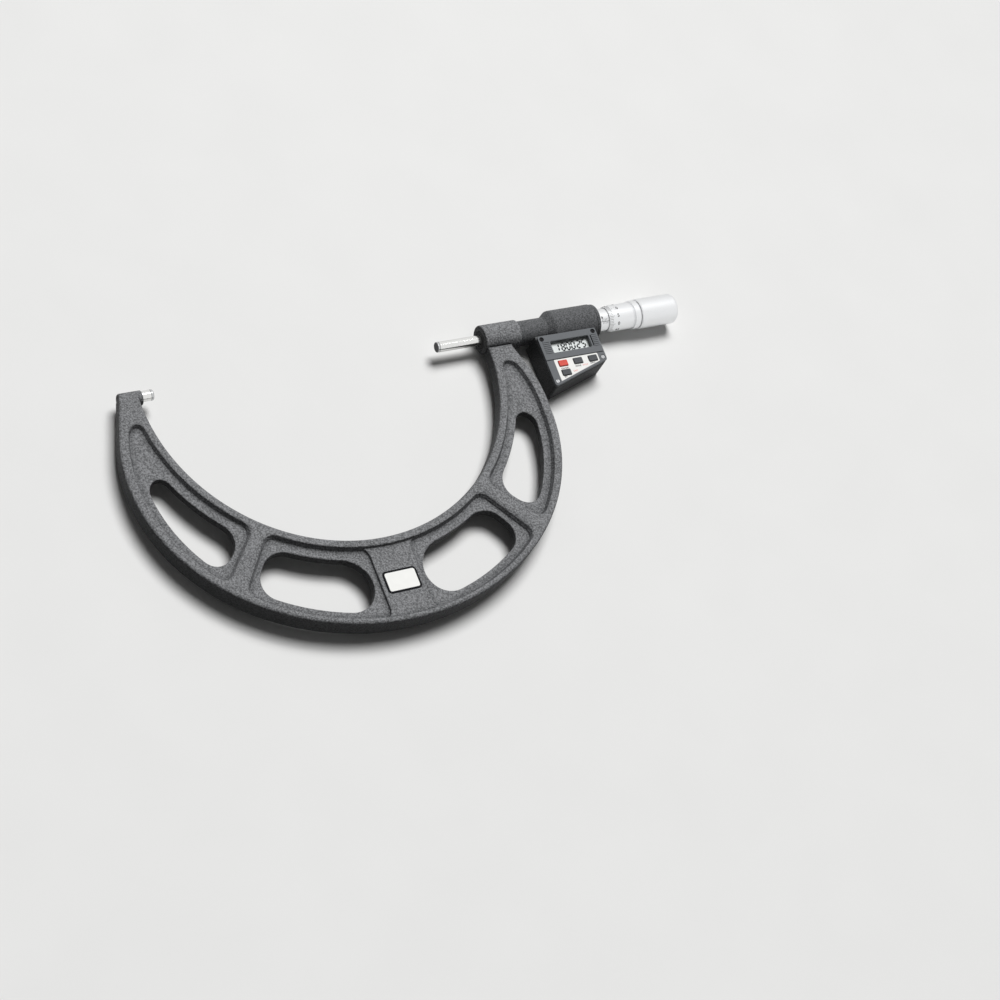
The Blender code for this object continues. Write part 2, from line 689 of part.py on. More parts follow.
# Frame: the rounded outer skin, then pockets, windows and pad on each face
outline = frame_outline()
bm = bmesh.new()
half = FRAME_THICK_AT_BOW / 2
web = WEB_THICK / 2
skin = {1: [], -1: []}
window_rims = {1: [], -1: []}
for face in (1, -1):
    for step in range(EDGE_STEPS + 1):
        turn = math.pi / 2 * step / EDGE_STEPS
        inset = RIM_EDGE_RADIUS * (1.0 - math.cos(turn))
        height = half - RIM_EDGE_RADIUS * (1.0 - math.sin(turn))
        skin[face].append(ring(bm, outline, inset, face * height))
    loft(bm, skin[face])
    pocket_mouths = []
    pocket_floors = []
    for pocket in (arm_pocket, bow_pocket, spread(mirrored(arm_pocket))):
        walls = [
            ring(bm, pocket, -RIM_CHAMFER, face * half),
            ring(bm, pocket, 0.0, face * (half - RIM_CHAMFER)),
            ring(bm, pocket, WALL_DRAFT, face * web),
        ]
        loft(bm, walls)
        pocket_mouths.append(walls[0])
        pocket_floors.append(walls[-1])
    for window in (arm_window, bow_window, mirrored(bow_window), mirrored(arm_window)):
        walls = [
            ring(bm, window, -WINDOW_CHAMFER, face * web),
            ring(bm, window, 0.0, face * (web - WINDOW_CHAMFER)),
        ]
        loft(bm, walls)
        window_rims[face].append(walls)
    pad_walls = [
        ring(bm, pad, 0.0, face * web),
        ring(bm, pad, 0.0, face * (PAD_THICK / 2 - PAD_CHAMFER)),
        ring(bm, pad, PAD_CHAMFER, face * PAD_THICK / 2),
    ]
    loft(bm, pad_walls)
    recess = []
    if face == 1:
        recess = [
            ring(bm, name_plate_outline, -SEAT_GAP, PAD_THICK / 2),
            ring(bm, name_plate_outline, -SEAT_GAP, PAD_THICK / 2 - PLATE_RECESS),
        ]
        loft(bm, recess)
        cap(bm, recess[1:])
    mouths = [walls[0] for walls in window_rims[face]]
    cap(bm, [skin[face][-1], *pocket_mouths])
    cap(bm, [pocket_floors[0], mouths[0]])
    cap(bm, [pocket_floors[1], mouths[1], mouths[2], pad_walls[0]])
    cap(bm, [pocket_floors[2], mouths[3]])
    cap(bm, [pad_walls[-1], *recess[:1]])
loft(bm, [skin[-1][0], skin[1][0]])
for front, back in zip(window_rims[1], window_rims[-1]):
    loft(bm, [back[1], front[1]])
taper(bm)
frame = add_piece("frame", bm, "wrinkle_enamel")

# Hub and anvil boss, joined to the frame, then bored
hub_profile = [
    (HUB_FACE_X, 0.0),
    (HUB_FACE_X, HUB_RADIUS - HUB_CHAMFER),
    (HUB_FACE_X + HUB_CHAMFER, HUB_RADIUS),
    (HUB_END_X, HUB_RADIUS),
    (HUB_END_X, 0.0),
]
boss_end_x = -ANVIL_REACH + ANVIL_BOSS_REACH
boss_x = boss_end_x - ANVIL_BOSS_LENGTH
boss_profile = [(boss_end_x, 0.0), (boss_end_x, ANVIL_BOSS_RADIUS)]
for step in range(EDGE_STEPS + 1):
    turn = math.pi / 2 * step / EDGE_STEPS
    back_off = ANVIL_BOSS_ROUND * (1.0 - math.sin(turn))
    radius = ANVIL_BOSS_RADIUS - ANVIL_BOSS_ROUND * (1.0 - math.cos(turn))
    boss_profile.append((boss_x + back_off, radius))
boss_profile.append((boss_x, 0.0))
hub_bore = rod(HUB_FACE_X - CUT_OVERRUN, HUB_END_X + CUT_OVERRUN, BUSH_RADIUS + SEAT_GAP)
anvil_hole = rod(
    -ANVIL_REACH - ANVIL_BURIED - SEAT_GAP, boss_end_x + CUT_OVERRUN, SPINDLE_RADIUS + SEAT_GAP
)
combine(frame, turned("hub_blank", hub_profile, "wrinkle_enamel"), "UNION")
boss = turned("anvil_boss", boss_profile, "wrinkle_enamel")
boss.data.transform(Matrix.Translation((0.0, -ANVIL_BOSS_DROP, 0.0)))
combine(frame, boss, "UNION")
combine(frame, turned("hub_bore", hub_bore, "wrinkle_enamel"), "DIFFERENCE")
combine(frame, turned("anvil_hole", anvil_hole, "wrinkle_enamel"), "DIFFERENCE")

# Name plate in the pad's recess
bm = bmesh.new()
plate_back = PAD_THICK / 2 - PLATE_RECESS + SEAT_GAP
walls = [
    ring(bm, name_plate_outline, 0.0, plate_back),
    ring(bm, name_plate_outline, 0.0, plate_back + PLATE_THICK),
]
loft(bm, walls)
cap(bm, walls[:1])
cap(bm, walls[1:])
taper(bm)
add_piece("name_plate", bm, "white_plate")

# Anvil and spindle, each with a hard tip brazed on
anvil_profile = rod(-ANVIL_REACH - ANVIL_BURIED, -TIP_LENGTH - BRAZE_GAP, SPINDLE_RADIUS)
anvil_tip_profile = [
    (-TIP_LENGTH, 0.0),
    (-TIP_LENGTH, SPINDLE_RADIUS),
    (-TIP_CHAMFER, SPINDLE_RADIUS),
    (0.0, SPINDLE_RADIUS - TIP_CHAMFER),
    (0.0, 0.0),
]
spindle_tip_profile = [(READING - x, radius) for x, radius in anvil_tip_profile]
screw_hole = END_SCREW_RADIUS + SEAT_GAP
screw_hole_x = SEAT_END_X - END_SCREW_DEPTH
spindle_profile = [
    (READING + TIP_LENGTH + BRAZE_GAP, 0.0),
    (READING + TIP_LENGTH + BRAZE_GAP, SPINDLE_RADIUS),
    (THREAD_X, SPINDLE_RADIUS),
    (THREAD_X + THREAD_CHAMFER, THREAD_RADIUS),
    (THREAD_END_X - THREAD_CHAMFER, THREAD_RADIUS),
    (THREAD_END_X, SEAT_RADIUS),
    (SEAT_END_X, SEAT_RADIUS),
    (SEAT_END_X, screw_hole),
    (screw_hole_x, screw_hole),
    (screw_hole_x, 0.0),
]
turned("anvil", anvil_profile, "ground_steel")
turned("anvil_tip", anvil_tip_profile, "carbide")
turned("spindle_tip", spindle_tip_profile, "carbide")
spindle = turned("spindle", spindle_profile, "ground_steel")
keyway = block(
    "keyway",
    (KEYWAY_X, -DRIVE_KEY_WIDTH / 2 - RUN_GAP, KEYWAY_FLOOR),
    (KEYWAY_END_X, DRIVE_KEY_WIDTH / 2 + RUN_GAP, SPINDLE_RADIUS + CUT_OVERRUN),
    "ground_steel",
)
combine(spindle, keyway, "DIFFERENCE")

# Guide bush and wiper in the hub
wiper_end_x = WIPER_X + WIPER_LENGTH
guide_bore = SPINDLE_RADIUS + RUN_GAP
turned("wiper_ring", tube(WIPER_X, wiper_end_x, BUSH_RADIUS, guide_bore), "rubber")
turned("spindle_bush", tube(BUSH_X, BUSH_END_X, BUSH_RADIUS, guide_bore), "bronze")

# Encoder: a fixed ring, and a rotor on a keyed hub that runs in its own bush
casing_fit = BARREL_BORE - SEAT_GAP
stator_profile = tube(STATOR_X, STATOR_X + STATOR_THICK, casing_fit, NECK_BORE)
rotor_profile = tube(
    ROTOR_X, ROTOR_X + ROTOR_THICK, BARREL_BORE - ROTOR_RIM_GAP, ROTOR_HUB_RADIUS + SEAT_GAP
)
rotor_hub_profile = [
    (ROTOR_X, ROTOR_HUB_BORE),
    (ROTOR_X, ROTOR_HUB_RADIUS),
    (ROTOR_FLANGE_X, ROTOR_HUB_RADIUS),
    (ROTOR_FLANGE_X, ROTOR_FLANGE_RADIUS),
    (ROTOR_FLANGE_X + ROTOR_FLANGE_THICK, ROTOR_FLANGE_RADIUS),
    (ROTOR_FLANGE_X + ROTOR_FLANGE_THICK, ROTOR_HUB_RADIUS),
    (ROTOR_HUB_END_X, ROTOR_HUB_RADIUS),
    (ROTOR_HUB_END_X, ROTOR_HUB_BORE),
]
rotor_bush_profile = tube(
    ROTOR_BUSH_X, ROTOR_BUSH_X + ROTOR_BUSH_LENGTH, casing_fit, ROTOR_HUB_RADIUS + RUN_GAP
)
rotor_collar_profile = tube(
    ROTOR_COLLAR_X,
    ROTOR_COLLAR_X + ROTOR_COLLAR_THICK,
    ROTOR_COLLAR_RADIUS,
    ROTOR_HUB_RADIUS + SEAT_GAP,
)
turned("encoder_stator", stator_profile, "board_green")
turned("encoder_rotor", rotor_profile, "board_green")
turned("rotor_bush", rotor_bush_profile, "bronze")
turned("rotor_collar", rotor_collar_profile, "black_steel")
rotor_hub = turned("rotor_hub", rotor_hub_profile, "ground_steel")
half_key = DRIVE_KEY_WIDTH / 2
key_end_x = DRIVE_KEY_X + DRIVE_KEY_LENGTH
key_slot = block(
    "key_slot",
    (DRIVE_KEY_X - SEAT_GAP, -half_key - SEAT_GAP, SPINDLE_RADIUS - RUN_GAP),
    (key_end_x + SEAT_GAP, half_key + SEAT_GAP, ROTOR_HUB_RADIUS + CUT_OVERRUN),
    "ground_steel",
)
combine(rotor_hub, key_slot, "DIFFERENCE")
block(
    "drive_key",
    (DRIVE_KEY_X, -half_key, SPINDLE_RADIUS - DRIVE_KEY_DEPTH),
    (key_end_x, half_key, ROTOR_HUB_RADIUS),
    "black_steel",
)

# Sleeve, spindle nut, adjusting nut and the barrel's end cap
cap_profile = [
    (END_CAP_X - END_CAP_SPIGOT, SLEEVE_RADIUS + SEAT_GAP),
    (END_CAP_X - END_CAP_SPIGOT, casing_fit),
    (END_CAP_X, casing_fit),
    (END_CAP_X, END_CAP_RADIUS),
    (END_CAP_END_X - END_CAP_EDGE, END_CAP_RADIUS),
    (END_CAP_END_X, END_CAP_RADIUS - END_CAP_EDGE),
    (END_CAP_END_X, SLEEVE_RADIUS + SEAT_GAP),
]
adjuster_profile = tube(
    ADJUSTER_X, ADJUSTER_X + ADJUSTER_LENGTH, ADJUSTER_RADIUS, NUT_RADIUS + SEAT_GAP
)
turned("fixed_sleeve", tube(SLEEVE_X, SLEEVE_END_X, SLEEVE_RADIUS, SLEEVE_BORE), "satin_chrome")
turned("spindle_nut", tube(NUT_X, NUT_END_X, NUT_RADIUS, THREAD_RADIUS + RUN_GAP), "bronze")
turned("adjusting_nut", adjuster_profile, "ground_steel")
turned("barrel_end_cap", cap_profile, "casing_grey")

# Thimble on the spindle's end
thimble_profile = [
    (THIMBLE_X, THIMBLE_BORE),
    (THIMBLE_X, THIMBLE_EDGE_RADIUS),
    (THIMBLE_X + THIMBLE_BEVEL, THIMBLE_RADIUS),
    (COLLAR_X - GROOVE_WIDTH, THIMBLE_RADIUS),
    (COLLAR_X - GROOVE_WIDTH, THIMBLE_TAIL_RADIUS),
    (COLLAR_X, THIMBLE_TAIL_RADIUS),
    (COLLAR_X, COLLAR_RADIUS - COLLAR_EDGE),
    (COLLAR_X + COLLAR_EDGE, COLLAR_RADIUS),
    (COLLAR_END_X - COLLAR_EDGE, COLLAR_RADIUS),
    (COLLAR_END_X, COLLAR_RADIUS - COLLAR_EDGE),
    (COLLAR_END_X, THIMBLE_TAIL_RADIUS),
    (THIMBLE_END_X, THIMBLE_TAIL_RADIUS),
    (THIMBLE_END_X, SEAT_RADIUS + SEAT_GAP),
    (THIMBLE_WALL_X, SEAT_RADIUS + SEAT_GAP),
    (THIMBLE_WALL_X, THIMBLE_BORE),
]
turned("thimble", thimble_profile, "satin_chrome")

# Friction sleeve, held on by a wave spring and the end screw
friction_bore = THIMBLE_TAIL_RADIUS + RUN_GAP
friction_profile = [
    (FRICTION_X, friction_bore),
    (FRICTION_X, FRICTION_RADIUS - FRICTION_LEAD),
    (FRICTION_X + FRICTION_LEAD, FRICTION_RADIUS),
]
for step in range(CORNER_STEPS + 1):
    turn = math.pi / 2 * step / CORNER_STEPS
    back_off = FRICTION_ROUND * (1.0 - math.sin(turn))
    radius = FRICTION_RADIUS - FRICTION_ROUND * (1.0 - math.cos(turn))
    friction_profile.append((FRICTION_END_X - back_off, radius))
friction_profile += [
    (FRICTION_END_X, END_SCREW_HEAD_RADIUS + RUN_GAP),
    (END_SCREW_HEAD_X - RUN_GAP, END_SCREW_HEAD_RADIUS + RUN_GAP),
    (END_SCREW_HEAD_X - RUN_GAP, END_SCREW_RADIUS + RUN_GAP),
    (FRICTION_WALL_X, END_SCREW_RADIUS + RUN_GAP),
    (FRICTION_WALL_X, friction_bore),
]
turned("friction_sleeve", friction_profile, "satin_chrome")
end_screw_end_x = END_SCREW_HEAD_X + END_SCREW_HEAD_THICK
end_screw_profile = [
    (screw_hole_x + SEAT_GAP, 0.0),
    (screw_hole_x + SEAT_GAP, END_SCREW_RADIUS),
    (END_SCREW_HEAD_X, END_SCREW_RADIUS),
    (END_SCREW_HEAD_X, END_SCREW_HEAD_RADIUS),
    (end_screw_end_x, END_SCREW_HEAD_RADIUS),
    (end_screw_end_x, 0.0),
]
end_screw = turned("end_screw", end_screw_profile, "ground_steel", SMALL_STEPS)
end_slot = block(
    "end_slot",
    (end_screw_end_x - END_SCREW_SLOT_DEPTH, -END_SCREW_SLOT_WIDTH / 2, -FRICTION_RADIUS),
    (end_screw_end_x + CUT_OVERRUN, END_SCREW_SLOT_WIDTH / 2, FRICTION_RADIUS),
    "ground_steel",
)
combine(end_screw, end_slot, "DIFFERENCE")
bm = bmesh.new()
spring_mid_x = (THIMBLE_END_X + FRICTION_WALL_X) / 2
spring_loops = []
for side, radius in ((-1, SPRING_INNER), (-1, SPRING_OUTER), (1, SPRING_OUTER), (1, SPRING_INNER)):
    loop = []
    for step in range(ROUND_STEPS):
        turn = math.tau * step / ROUND_STEPS
        x = spring_mid_x + side * SPRING_THICK / 2 + SPRING_WAVE * math.cos(SPRING_WAVES * turn)
        loop.append(bm.verts.new((x, radius * math.cos(turn), radius * math.sin(turn))))
    spring_loops.append(loop)
loft(bm, [*spring_loops, spring_loops[0]])
add_piece("friction_spring", bm, "ground_steel")

# The panel's own frame: across along the spindle, up the panel, and height out of it
panel = bpy.data.objects.new("panel_frame", None)
bpy.context.scene.collection.objects.link(panel)
panel.location = (PANEL_LEFT_X, -PANEL_TOP_DROP, PANEL_TOP_Z)
panel.rotation_euler = (PANEL_TILT, 0.0, 0.0)


def slant(across):
    """How far below the panel's top its slanted bottom edge is."""
    return PANEL_LEFT_HEIGHT + (PANEL_RIGHT_HEIGHT - PANEL_LEFT_HEIGHT) * across / PANEL_WIDTH


def box_outline(inset, top_drop):
    """Outline of the display box in the spindle's frame, moved inwards except at its top."""
    left, right = inset, PANEL_WIDTH - inset
    fall = inset / math.cos(math.atan((PANEL_LEFT_HEIGHT - PANEL_RIGHT_HEIGHT) / PANEL_WIDTH))
    level = math.cos(PANEL_TILT)
    corners = [
        (PANEL_LEFT_X + left, -PANEL_TOP_DROP - (slant(left) - fall) * level),
        (PANEL_LEFT_X + right, -PANEL_TOP_DROP - (slant(right) - fall) * level),
        (PANEL_LEFT_X + right, -top_drop),
        (PANEL_LEFT_X + left, -top_drop),
    ]
    return rounded(corners, (PANEL_CORNER, PANEL_CORNER, 0.0, 0.0))


def front_height(y, depth):
    """Height in the spindle's frame of a plane this far behind the panel's surface."""
    return PANEL_TOP_Z + math.tan(PANEL_TILT) * (y + PANEL_TOP_DROP) - depth / math.cos(PANEL_TILT)


# Depths behind the panel's surface of the pieces stacked in the box
box_front = PANEL_THICK + SEAT_GAP
lcd_front = box_front + WINDOW_THICK + SEAT_GAP
strip_front = lcd_front + LCD_THICK + SEAT_GAP
board_front = strip_front + STRIP_THICK + SEAT_GAP
board_back = board_front + BOARD_THICK
key_flange_back = box_front + KEY_FLANGE
dome_front = key_flange_back + KEY_TRAVEL + KEY_STOP_GAP
mat_back = board_front - SEAT_GAP
mat_front = mat_back - MAT_THICK
battery_front = board_back + SEAT_GAP
battery_back = battery_front + BATTERY_THICK

# Head casing: turned barrel and display box, hollowed
barrel_profile = [
    (SPIGOT_X, 0.0),
    (SPIGOT_X, BUSH_RADIUS),
    (NECK_X, BUSH_RADIUS),
    (NECK_X, NECK_RADIUS),
    (CONE_X, NECK_RADIUS),
    (BARREL_X, BARREL_RADIUS),
    (BARREL_END_X - BARREL_CHAMFER, BARREL_RADIUS),
    (BARREL_END_X, BARREL_RADIUS - BARREL_CHAMFER),
    (BARREL_END_X, 0.0),
]
casing = turned("head_casing", barrel_profile, "casing_grey")
bm = bmesh.new()
outer = box_outline(0.0, BOX_TOP_DROP)
walls = [
    ring(bm, outer, BOX_BACK_EDGE, BOX_BACK_Z),
    ring(bm, outer, 0.0, BOX_BACK_Z + BOX_BACK_EDGE),
    ring(bm, outer, 0.0, 0.0),
]
loft(bm, walls)
cap(bm, walls[:1])
cap(bm, walls[-1:])
for vert in walls[-1]:
    vert.co.z = front_height(vert.co.y, box_front)
display_box = add_piece("display_box", bm, "casing_grey")
lean_back = board_back * math.sin(PANEL_TILT)
cavity = plate(
    "cavity",
    box_outline(BOX_WALL, PANEL_TOP_DROP + OPENING_TOP - WINDOW_LIP - lean_back - SEAT_GAP),
    BOX_BACK_Z + BOX_WALL,
    PANEL_TOP_Z + CUT_OVERRUN,
    "casing_grey",
)
combine(casing, display_box, "UNION")
combine(casing, cavity, "DIFFERENCE")

# Bezel and keypad panel on the box's front, with the bezel cut to pass the barrel
bezel_outline = rounded(
    [(0.0, -BEZEL_HEIGHT), (PANEL_WIDTH, -BEZEL_HEIGHT), (PANEL_WIDTH, 0.0), (0.0, 0.0)],
    (0.0, 0.0, PANEL_CORNER, PANEL_CORNER),
)
opening_right = PANEL_WIDTH - OPENING_RIGHT_MARGIN
opening_bottom = BEZEL_HEIGHT - OPENING_BOTTOM_MARGIN
opening = rectangle(OPENING_LEFT, -opening_bottom, opening_right, -OPENING_TOP, OPENING_CORNER)
bezel = plate(
    "display_bezel", bezel_outline, -PANEL_THICK, 0.0, "panel_grey", panel, [opening], PANEL_EDGE
)
barrel_clearance = rod(CONE_X, BARREL_END_X + CUT_OVERRUN, BARREL_RADIUS + SEAT_GAP)
combine(bezel, turned("barrel_clearance", barrel_clearance, "panel_grey"), "DIFFERENCE")
key_top_drop = BEZEL_HEIGHT + KEY_TOP_MARGIN
key_bottom_drop = slant(KEY_FIRST_LEFT + KEY_WIDTH / 2) - KEY_BOTTOM_MARGIN
key_height = (key_bottom_drop - key_top_drop - KEY_ROW_GAP) / 2
key_pitch_across = (PANEL_WIDTH - KEY_FIRST_LEFT - KEY_LAST_RIGHT_MARGIN) / 2
key_places = {}
for name, column, row in (
    ("key_power", 0, 0),
    ("key_mode", 1, 0),
    ("key_zero", 2, 0),
    ("key_set", 0, 1),
):
    across = KEY_FIRST_LEFT + column * key_pitch_across
    drop = key_top_drop + key_height / 2 + row * (key_height + KEY_ROW_GAP)
    key_places[name] = Vector((across, -drop))


def key_outline(place, grow):
    """Outline of a key, or of the hole round it."""
    across = KEY_WIDTH / 2 + grow
    up = key_height / 2 + grow
    corner = KEY_CORNER + grow
    return rectangle(place.x - across, place.y - up, place.x + across, place.y + up, corner)


def key_plate_outline(grow):
    """Outline of the white plate round the keys, or of the recess it lies in."""
    left = KEY_PLATE_LEFT - grow
    right = PANEL_WIDTH - KEY_PLATE_RIGHT_MARGIN + grow
    corners = [
        (left, -slant(left) + KEY_PLATE_MARGIN - grow),
        (right, -slant(right) + KEY_PLATE_MARGIN - grow),
        (right, -BEZEL_HEIGHT - KEY_PLATE_TOP_MARGIN + grow),
        (left, -BEZEL_HEIGHT - KEY_PLATE_TOP_MARGIN + grow),
    ]
    return rounded(corners, [KEY_PLATE_CORNER + grow] * 4)


key_holes = [key_outline(place, RUN_GAP) for place in key_places.values()]
keypad_outline = rounded(
    [
        (0.0, -PANEL_LEFT_HEIGHT),
        (PANEL_WIDTH, -PANEL_RIGHT_HEIGHT),
        (PANEL_WIDTH, -BEZEL_HEIGHT - SEAT_GAP),
        (0.0, -BEZEL_HEIGHT - SEAT_GAP),
    ],
    (PANEL_CORNER, PANEL_CORNER, 0.0, 0.0),
)
keypad = plate(
    "keypad_panel", keypad_outline, -PANEL_THICK, 0.0, "panel_grey", panel, key_holes, PANEL_EDGE
)
key_plate_back = KEY_PLATE_PROUD - KEY_PLATE_THICK
plate(
    "key_plate",
    key_plate_outline(0.0),
    key_plate_back,
    KEY_PLATE_PROUD,
    "white_plate",
    panel,
    key_holes,
)
plate_recess = plate(
    "plate_recess",
    key_plate_outline(SEAT_GAP),
    key_plate_back - SEAT_GAP,
    CUT_OVERRUN,
    "panel_grey",
    panel,
)
combine(keypad, plate_recess, "DIFFERENCE")

# Keys, each with a flange that stops it under the panel
key_top = key_outline(Vector((0.0, 0.0)), 0.0)
for name, place in key_places.items():
    bm = bmesh.new()
    walls = [
        ring(bm, key_top, -KEY_FLANGE_LIP, -key_flange_back),
        ring(bm, key_top, -KEY_FLANGE_LIP, -box_front),
        ring(bm, key_top, 0.0, -box_front),
        ring(bm, key_top, 0.0, KEY_PROUD - KEY_EDGE),
        ring(bm, key_top, KEY_EDGE, KEY_PROUD),
    ]
    loft(bm, walls)
    cap(bm, walls[:1])
    cap(bm, walls[-1:])
    key_finish = "key_red" if name == "key_power" else "key_grey"
    add_piece(name, bm, key_finish, panel, (place.x, place.y, 0.0))

# Display window, glass and its two contact strips
glass_top = -OPENING_TOP + WINDOW_LIP
glass_bottom = -opening_bottom - WINDOW_LIP
glass = rectangle(
    OPENING_LEFT - WINDOW_LIP, glass_bottom, opening_right + WINDOW_LIP, glass_top, OPENING_CORNER
)
plate("display_window", glass, -box_front - WINDOW_THICK, -box_front, "clear_window", panel)
plate("lcd_module", glass, -lcd_front - LCD_THICK, -lcd_front, "lcd_glass", panel)
for name, strip_bottom in (
    ("lcd_strip_upper", -OPENING_TOP - STRIP_WIDTH),
    ("lcd_strip_lower", -opening_bottom),
):
    block(
        name,
        (OPENING_LEFT, strip_bottom, -strip_front - STRIP_THICK),
        (opening_right, strip_bottom + STRIP_WIDTH, -strip_front),
        "rubber",
        panel,
    )

# Circuit board, and the key mat on it with a dome under each key
clear_left = SCREW_INSET_X + BOSS_RADIUS + SEAT_GAP
clear_right = PANEL_WIDTH - clear_left
clear_bottom = BOX_WALL + SEAT_GAP + BOARD_MARGIN
mat_top = glass_bottom - SEAT_GAP
lower_corners = [
    Vector((clear_left, -slant(clear_left) + clear_bottom)),
    Vector((clear_right, -slant(clear_right) + clear_bottom)),
]
board_outline = [*lower_corners, Vector((clear_right, glass_top)), Vector((clear_left, glass_top))]
mat_outline = [*lower_corners, Vector((clear_right, mat_top)), Vector((clear_left, mat_top))]
plate("circuit_board", board_outline, -board_back, -board_front, "board_green", panel)
bm = bmesh.new()
slab = [ring(bm, mat_outline, 0.0, -mat_back), ring(bm, mat_outline, 0.0, -mat_front)]
loft(bm, slab)
cap(bm, slab[:1])
dome_feet = []
for place in key_places.values():
    dome_outline = disc(place.x, place.y, MAT_DOME_RADIUS)
    dome = [ring(bm, dome_outline, 0.0, -mat_front), ring(bm, dome_outline, 0.0, -dome_front)]
    loft(bm, dome)
    cap(bm, dome[1:])
    dome_feet.append(dome[0])
cap(bm, [slab[1], *dome_feet])
add_piece("key_mat", bm, "rubber", panel)

# Cell under the board, in a sprung clip
battery_place = (BATTERY_LEFT, -BATTERY_TOP, 0.0)
battery_profile = rod(-battery_back, -battery_front, BATTERY_RADIUS)
upright("battery", battery_profile, "ground_steel", panel, battery_place, ROUND_STEPS)
clip_inside = BATTERY_RADIUS + SEAT_GAP
clip_outside = clip_inside + CLIP_THICK
clip_floor = battery_back + SEAT_GAP
clip_section = [
    Vector((-clip_outside, -battery_front)),
    Vector((-clip_outside, -clip_floor - CLIP_THICK)),
    Vector((clip_outside, -clip_floor - CLIP_THICK)),
    Vector((clip_outside, -battery_front)),
    Vector((clip_inside, -battery_front)),
    Vector((clip_inside, -clip_floor)),
    Vector((-clip_inside, -clip_floor)),
    Vector((-clip_inside, -battery_front)),
]
bm = bmesh.new()
walls = [ring(bm, clip_section, 0.0, -CLIP_WIDTH / 2), ring(bm, clip_section, 0.0, CLIP_WIDTH / 2)]
loft(bm, walls)
cap(bm, walls[:1])
cap(bm, walls[1:])
bmesh.ops.rotate(bm, verts=bm.verts, matrix=Matrix.Rotation(math.pi / 2, 3, "X"))
add_piece("battery_clip", bm, "satin_chrome", panel, battery_place)

# Bosses in the box, then the casing's bore, then the case screws through both panels
screw_right = PANEL_WIDTH - SCREW_INSET_X
left_rise = -slant(SCREW_INSET_X) + SCREW_INSET_BOTTOM
right_rise = -slant(screw_right) + SCREW_INSET_BOTTOM
screws = {
    "bezel_screw_left": (SCREW_INSET_X, -SCREW_INSET_TOP, bezel, SCREW_SINK_TOP),
    "bezel_screw_right": (screw_right, -SCREW_INSET_TOP, bezel, SCREW_SINK_TOP),
    "keypad_screw_left": (SCREW_INSET_X, left_rise, keypad, SCREW_SINK_BOTTOM),
    "keypad_screw_right": (screw_right, right_rise, keypad, SCREW_SINK_BOTTOM),
}
for name, (across, up, held, sink) in screws.items():
    boss_y = -PANEL_TOP_DROP + up * math.cos(PANEL_TILT)
    boss_back = front_height(boss_y, 0.0) - BOX_BACK_Z - BOX_WALL / 2
    profile = rod(-boss_back, -box_front - BOSS_SINK, BOSS_RADIUS)
    boss = upright(name + "_boss", profile, "casing_grey", panel, (across, up, 0.0))
    combine(casing, boss, "UNION")
casing_bore_profile = [
    (SPIGOT_X - CUT_OVERRUN, 0.0),
    (SPIGOT_X - CUT_OVERRUN, NECK_BORE),
    (BARREL_FLOOR_X, NECK_BORE),
    (BARREL_FLOOR_X, BARREL_BORE),
    (BARREL_END_X + CUT_OVERRUN, BARREL_BORE),
    (BARREL_END_X + CUT_OVERRUN, 0.0),
]
combine(casing, turned("casing_bore", casing_bore_profile, "casing_grey"), "DIFFERENCE")
for name, (across, up, held, sink) in screws.items():
    head_back = sink + SCREW_HEAD_THICK
    screw_tip = head_back + SCREW_LENGTH
    hole_profile = [
        (-screw_tip - SEAT_GAP, 0.0),
        (-screw_tip - SEAT_GAP, SCREW_SHANK_RADIUS + SEAT_GAP),
        (-head_back - SEAT_GAP, SCREW_SHANK_RADIUS + SEAT_GAP),
        (-head_back - SEAT_GAP, SCREW_HEAD_RADIUS + SEAT_GAP),
        (CUT_OVERRUN, SCREW_HEAD_RADIUS + SEAT_GAP),
        (CUT_OVERRUN, 0.0),
    ]
    screw_profile = [
        (-screw_tip, 0.0),
        (-screw_tip, SCREW_SHANK_RADIUS),
        (-head_back, SCREW_SHANK_RADIUS),
        (-head_back, SCREW_HEAD_RADIUS),
        (-sink, SCREW_HEAD_RADIUS),
        (-sink, 0.0),
    ]
    hole = upright(name + "_hole", hole_profile, "casing_grey", panel, (across, up, 0.0))
    combine(held, hole, "DIFFERENCE")
    combine(casing, hole, "DIFFERENCE")
    screw = upright(name, screw_profile, "black_steel", panel, (across, up, 0.0))
    slot = block(
        name + "_slot",
        (across - SCREW_SLOT_WIDTH / 2, up - BOSS_RADIUS, -sink - SCREW_SLOT_DEPTH),
        (across + SCREW_SLOT_WIDTH / 2, up + BOSS_RADIUS, CUT_OVERRUN),
        "black_steel",
        panel,
    )
    combine(screw, slot, "DIFFERENCE")
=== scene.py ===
import math

import bmesh
import bpy
from mathutils import Matrix, Vector


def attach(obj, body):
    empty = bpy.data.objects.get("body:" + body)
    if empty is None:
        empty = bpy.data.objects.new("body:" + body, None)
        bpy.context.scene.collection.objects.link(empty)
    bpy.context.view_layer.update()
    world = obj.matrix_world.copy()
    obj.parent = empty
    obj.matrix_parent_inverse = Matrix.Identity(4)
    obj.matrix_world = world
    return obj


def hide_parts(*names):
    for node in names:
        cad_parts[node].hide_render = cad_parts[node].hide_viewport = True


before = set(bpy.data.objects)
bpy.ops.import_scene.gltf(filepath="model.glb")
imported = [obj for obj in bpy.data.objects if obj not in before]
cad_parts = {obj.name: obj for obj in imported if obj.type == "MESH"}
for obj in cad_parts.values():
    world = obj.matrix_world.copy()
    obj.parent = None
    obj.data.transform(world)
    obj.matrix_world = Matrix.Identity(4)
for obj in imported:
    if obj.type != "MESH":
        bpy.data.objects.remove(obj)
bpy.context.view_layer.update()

# Frame: one iron casting, blasted and sprayed with grey wrinkle enamel. Rims run round the throat
# and the bow, two spokes and a pad join them, and four windows lighten the web. The hub and the
# anvil's boss are cast on and bored.


